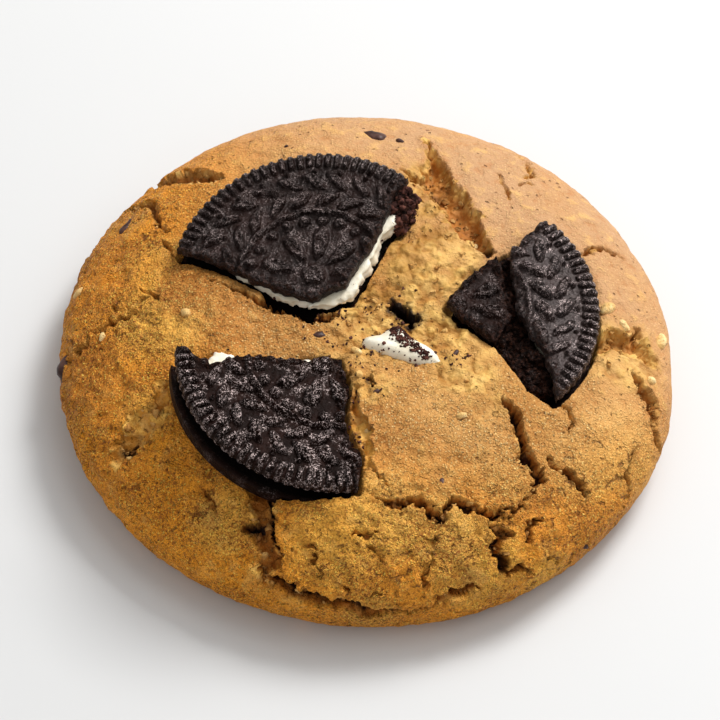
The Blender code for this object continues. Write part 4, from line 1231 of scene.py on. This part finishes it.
def strewn_piece(name, skin_piece, strewn, finish, **sizes):
    """Return a piece of granules strewn over a copy of a skin, whose points carry how thickly they lie."""
    piece = bpy.data.objects.new(name, skin_piece.data.copy())
    bpy.context.scene.collection.objects.link(piece)
    mark = piece.data.attributes.new("strewn", "FLOAT", "POINT")
    mark.data.foreach_set("value", np.asarray(strewn, np.float32))
    crumbs.apply(piece, finish, **sizes)
    piece.data.materials.clear()
    piece.data.materials.append(finish)
    return piece


crumbs = crumb_tree()
torn_finish = torn_dough("torn_dough", tint(186, 132, 64), tint(226, 180, 108))
torn_crumb = strewn_piece("torn_crumb", dough, loose, torn_finish, per_square_mm=1.1, smallest=0.35,
                          largest=1.3, flatness=0.7, jagged=0.5, jag_size=0.5)
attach(torn_crumb, "root")

# Cocoa crumbs ---------------------------------------------------------------------------------------------
# Dark crumbs that fell from the sandwich biscuits as they were broken: a smear of them across the cream
# sliver, a scatter over the open middle, and dust close round the pieces.
# Route and widths of the smear; middle, reach and strength of the scattered areas.
SMEAR = [(4.6, -4), (5, -5.4), (7, -7.4), (9, -9.3)]
SMEAR_WIDTHS = (2.6, 2.8, 1.5, 1.3)
DUSTED = [((3, -3), 9, 0.3), ((13.5, -9.6), 1.8, 3), ((6, 14), 4, 0.5), ((8, 19.5), 2.5, 0.9),
          ((0, -14), 5, 0.4), ((1.5, -16.3), 1.5, 2), ((-6, -3.5), 5, 1), ((0.5, -8), 3, 0.8),
          ((-20, -8), 5, 0.3), ((1.5, -3), 3.5, 1.2), ((14, -7.5), 3, 0.8), ((-2, -24), 4, 0.4)]


def cocoa_crumb():
    """Loose crumbs of the dark wafer: matt, brown-black."""
    wires = Finish("cocoa_crumb")
    tone = wires.ease(wires.noise(wires.place, 0.8, 2.0, 0.6), 0.4, 0.65)
    return wires.done(wires.mix(tone, tint(46, 24, 20), tint(98, 60, 50)), 0.8, 0.12)


thrown = sum(soft_spots(crust, [spot]) for spot in DUSTED)
thrown *= 0.12 + 2.4 * ease(rough(smooth_skin, 1.7, 967), 0.15, 0.5)
cocoa_dust = cocoa_crumb()
dust = strewn_piece("cocoa_crumbs", dough, thrown, cocoa_dust, per_square_mm=1.5, smallest=0.16, largest=0.65,
                    jagged=0.22, jag_size=0.3, seed=11)
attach(dust, "root")

places = np.zeros(len(sliver.data.vertices) * 3)
sliver.data.vertices.foreach_get("co", places)
places = places.reshape(-1, 3) / METRES
smeared = ease(route_reach(places[:, :2] + 0.5 * columns(lumps, places, 1.0, 5, 6), SMEAR, SMEAR_WIDTHS)[0],
               0.0, 0.3)
smeared *= ease(places[:, 2], SLIVER_TOP - 2.2, SLIVER_TOP - 1.2)
smear = strewn_piece("sliver_crumbs", sliver, smeared + 0.02, cocoa_dust, per_square_mm=22.0, smallest=0.22,
                     largest=0.6, jagged=0.22, jag_size=0.3, seed=17)
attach(smear, "root")

cream, points = creams["back_left"]
low_side = ease(CREAM_TOP - points[:, 2], 0.5, 1.0) * ease(rough(points, 1.6, 977), -0.2, 0.4)
clinging = strewn_piece("cream_crumbs", cream, low_side * (1 - 0.9 * ease(points[:, 0], 3.0, 8.0)),
                        cocoa_dust, per_square_mm=5.0, smallest=0.25, largest=0.9, jagged=0.22, jag_size=0.35,
                        seed=23)
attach(clinging, "root")

for where, bank in banks.items():
    finish = cocoa_dust if where == "back_left" else crushed_cocoa
    rubble = strewn_piece(f"{where}_rubble", bank, np.ones(len(bank.data.vertices)), finish,
                          per_square_mm=2.6, smallest=0.4, largest=1.5, jagged=0.4, jag_size=0.5, seed=29)
    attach(rubble, "root")

# Nut bits -------------------------------------------------------------------------------------------------
# Chopped pale nuts stirred into the dough. A few corners of them break through the crust, most along its
# torn right edge. Each bit's plan place, length and turn follow.
NUT_BITS = [((-46.5, 9.5), 2.4, 0.3), ((-41, -1.5), 1.6, 1.2), ((-27, -0.5), 2.2, 2),
            ((14, -19.5), 1.8, 0.4), ((0.5, -22.5), 1.8, 1.5), ((38, 3.5), 2.6, 0.8),
            ((40.5, 0.5), 2.2, 2.2), ((48, 1), 3.6, 1.2), ((44.5, -8.5), 2.2, 0.2),
            ((44.5, -14.5), 3.6, -0.5), ((17.5, 15), 1.6, 0.9), ((-1.5, -8), 1.6, 2.6)]


def rough_bit(length, wide, high, seed):
    """Return the points and faces of a lumpy chip, centred on its own middle."""
    turns, rows = 14, 8
    points = [(0.0, 0.0, high / 2)]
    for row in range(1, rows):
        lean = math.pi * row / rows
        for turn in range(turns):
            angle = 2 * math.pi * turn / turns
            points.append((length / 2 * math.sin(lean) * math.cos(angle),
                           wide / 2 * math.sin(lean) * math.sin(angle), high / 2 * math.cos(lean)))
    points.append((0.0, 0.0, -high / 2))
    points = np.array(points)
    points *= (1 + 0.5 * rough(points, max(0.6, 0.4 * length), seed))[:, None]
    faces = []
    for turn in range(turns):
        after = (turn + 1) % turns
        faces.append((0, 1 + turn, 1 + after))
        for row in range(rows - 2):
            first = 1 + row * turns
            faces.append((first + turn, first + turns + turn, first + turns + after, first + after))
        last = 1 + (rows - 2) * turns
        faces.append((last + turn, len(points) - 1, last + after))
    return points, faces


def laid_bit(plan, length, turn, seed, slim=0.6, proud=0.2):
    """Return a chip's points laid into the skin at a plan place, and its faces."""
    points, faces = rough_bit(length, length * slim, length * 0.55, seed)
    plan = np.array([plan])
    nearest = np.argmin(np.linalg.norm(crust - plan, axis=1))
    up = dome_outward(plan)[0]
    side = np.cross(up, (0.0, 1.0, 0.0))
    side /= np.linalg.norm(side)
    other = np.cross(up, side)
    along = side * math.cos(turn) + other * math.sin(turn)
    frame_rows = np.array([along, np.cross(up, along), up])
    return points @ frame_rows + skin[nearest] + up * (proud - length * 0.1), faces


def joined_bits(name, bits):
    """Return one piece of several chips."""
    all_points, all_faces, total = [], [], 0
    for points, faces in bits:
        all_points.append(points)
        all_faces += [tuple(corner + total for corner in face) for face in faces]
        total += len(points)
    return new_piece(name, np.concatenate(all_points), all_faces)


nuts = joined_bits("nut_bits", [laid_bit(plan, length, turn, 1200 + number)
                                for number, (plan, length, turn) in enumerate(NUT_BITS)])
nuts.data.materials.append(torn_dough("chopped_nut", tint(222, 178, 108), tint(244, 216, 156)))
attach(nuts, "root")

# Chocolate chips ------------------------------------------------------------------------------------------
# Drops of dark chocolate stirred into the dough. They melted and set again nearly flush with the crust, and
# show as smooth, dull, purple-brown spots. A larger lump lies bare at the bottom of the hole in the middle.


def dull_chocolate():
    """Dark chocolate that has melted and set again: smooth, dull and faintly bloomed."""
    wires = Finish("dull_chocolate")
    place = wires.place
    tone = wires.ease(wires.noise(place, 1.6, 3.0, 0.6), 0.35, 0.7)
    colour = wires.mix(tone, tint(50, 28, 22), tint(86, 58, 50))
    return wires.done(colour, 0.42, 0.25, wires.bumps((wires.noise(place, 0.8, 3.0, 0.6), 0.15, 0.5)))


chocolate = dull_chocolate()

# Each chip's plan place, length, turn, slimness and how proud of the crust it stands.
CHIPS = {"chip_left": ((-50.2, -3.4), 5, 1.5, 0.6, -0.45),
         "chip_back_left": ((-38.3, 22.5), 4.4, 1, 0.45, -0.2),
         "chip_back": ((1.6, 38), 4.6, -0.35, 0.7, -0.1)}
for number, (name, (plan, length, turn, slim, proud)) in enumerate(CHIPS.items()):
    chip = joined_bits(f"{name}_melted", [laid_bit(plan, length, turn, 1300 + number, slim, proud)])
    chip.data.materials.append(chocolate)
    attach(chip, "root")
    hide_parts(name)

# Smaller bits of chocolate: plan place, length, turn and how proud of the crust they stand.
CHOCOLATE_BITS = [((6, -0.2), 4.4, 2.4, 0.8), ((-7.5, -4.6), 2.4, 0.2, -0.1),
                  ((1.6, -16.3), 1.6, 0.5, -0.1), ((13.6, -8), 1.4, 1, 0.1), ((7.6, 21), 1.3, 1.4, 0.2),
                  ((11.4, -30.6), 2.2, 1.9, -0.25), ((36.5, -38.5), 1.8, 0.7, 0),
                  ((5.6, 37.2), 1.5, 0, 0.1), ((-38, -22.5), 1.8, 0.4, 0), ((-12.5, 33), 0.9, 0.3, 0.1),
                  ((16, 0.5), 1, 2, 0.1)]
bits = joined_bits("chocolate_bits", [laid_bit(plan, length, turn, 1330 + number, 0.55, proud)
                                      for number, (plan, length, turn, proud) in enumerate(CHOCOLATE_BITS)])
bits.data.materials.append(chocolate)
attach(bits, "root")

# Camera, light and floor ----------------------------------------------------------------------------------
# A long lens looks down at the cookie from the front. One broad soft light stands behind it to the right,
# and a white room fills the shadows. The floor is a pale plain sheet.
VIEW_FROM = math.radians(54)
VIEW_DISTANCE = 560.0
VIEW_TARGET = Vector((-0.88, -3.97, 12.0))
FRAME_WIDTH = 111.6
SENSOR = 36.0

lens = bpy.data.cameras.new("view")
lens.sensor_width = SENSOR
lens.lens = SENSOR * VIEW_DISTANCE / FRAME_WIDTH
lens.clip_start = 0.01
camera = bpy.data.objects.new("view", lens)
away = Vector((0.0, -math.cos(VIEW_FROM), math.sin(VIEW_FROM))) * VIEW_DISTANCE
camera.location = (VIEW_TARGET + away) * METRES
camera.rotation_euler = (math.pi / 2 - VIEW_FROM, 0.0, 0.0)
bpy.context.scene.collection.objects.link(camera)
bpy.context.scene.camera = camera


def soft_light(name, where, size, power):
    """Add a square soft light that faces the cookie."""
    lamp = bpy.data.lights.new(name, "AREA")
    lamp.size = size * METRES
    lamp.energy = power
    thing = bpy.data.objects.new(name, lamp)
    thing.location = Vector(where) * METRES
    thing.rotation_euler = (-Vector(where)).to_track_quat("-Z", "Y").to_euler()
    bpy.context.scene.collection.objects.link(thing)


for lamp in (("window", (340, 400, 560), 260, 5.0), ("ceiling", (430, 360, 700), 1000, 4.3),
             ("front_wall", (-150, -600, 300), 700, 0.6)):
    soft_light(*lamp)

world = bpy.data.worlds.new("room")
world.use_nodes = True
world.node_tree.nodes["Background"].inputs["Color"].default_value = (1.0, 1.0, 1.0, 1.0)
world.node_tree.nodes["Background"].inputs["Strength"].default_value = 0.44
bpy.context.scene.world = world
bpy.context.scene.view_settings.view_transform = "Standard"

FLOOR_REACH = 1500.0
corners = [(-FLOOR_REACH, -FLOOR_REACH, 0), (FLOOR_REACH, -FLOOR_REACH, 0), (FLOOR_REACH, FLOOR_REACH, 0),
           (-FLOOR_REACH, FLOOR_REACH, 0)]
floor = new_piece("floor", corners, [(0, 1, 2, 3)])
floor.data.materials.append(Finish("pale_floor").done((0.655, 0.655, 0.65, 1.0), 0.6))
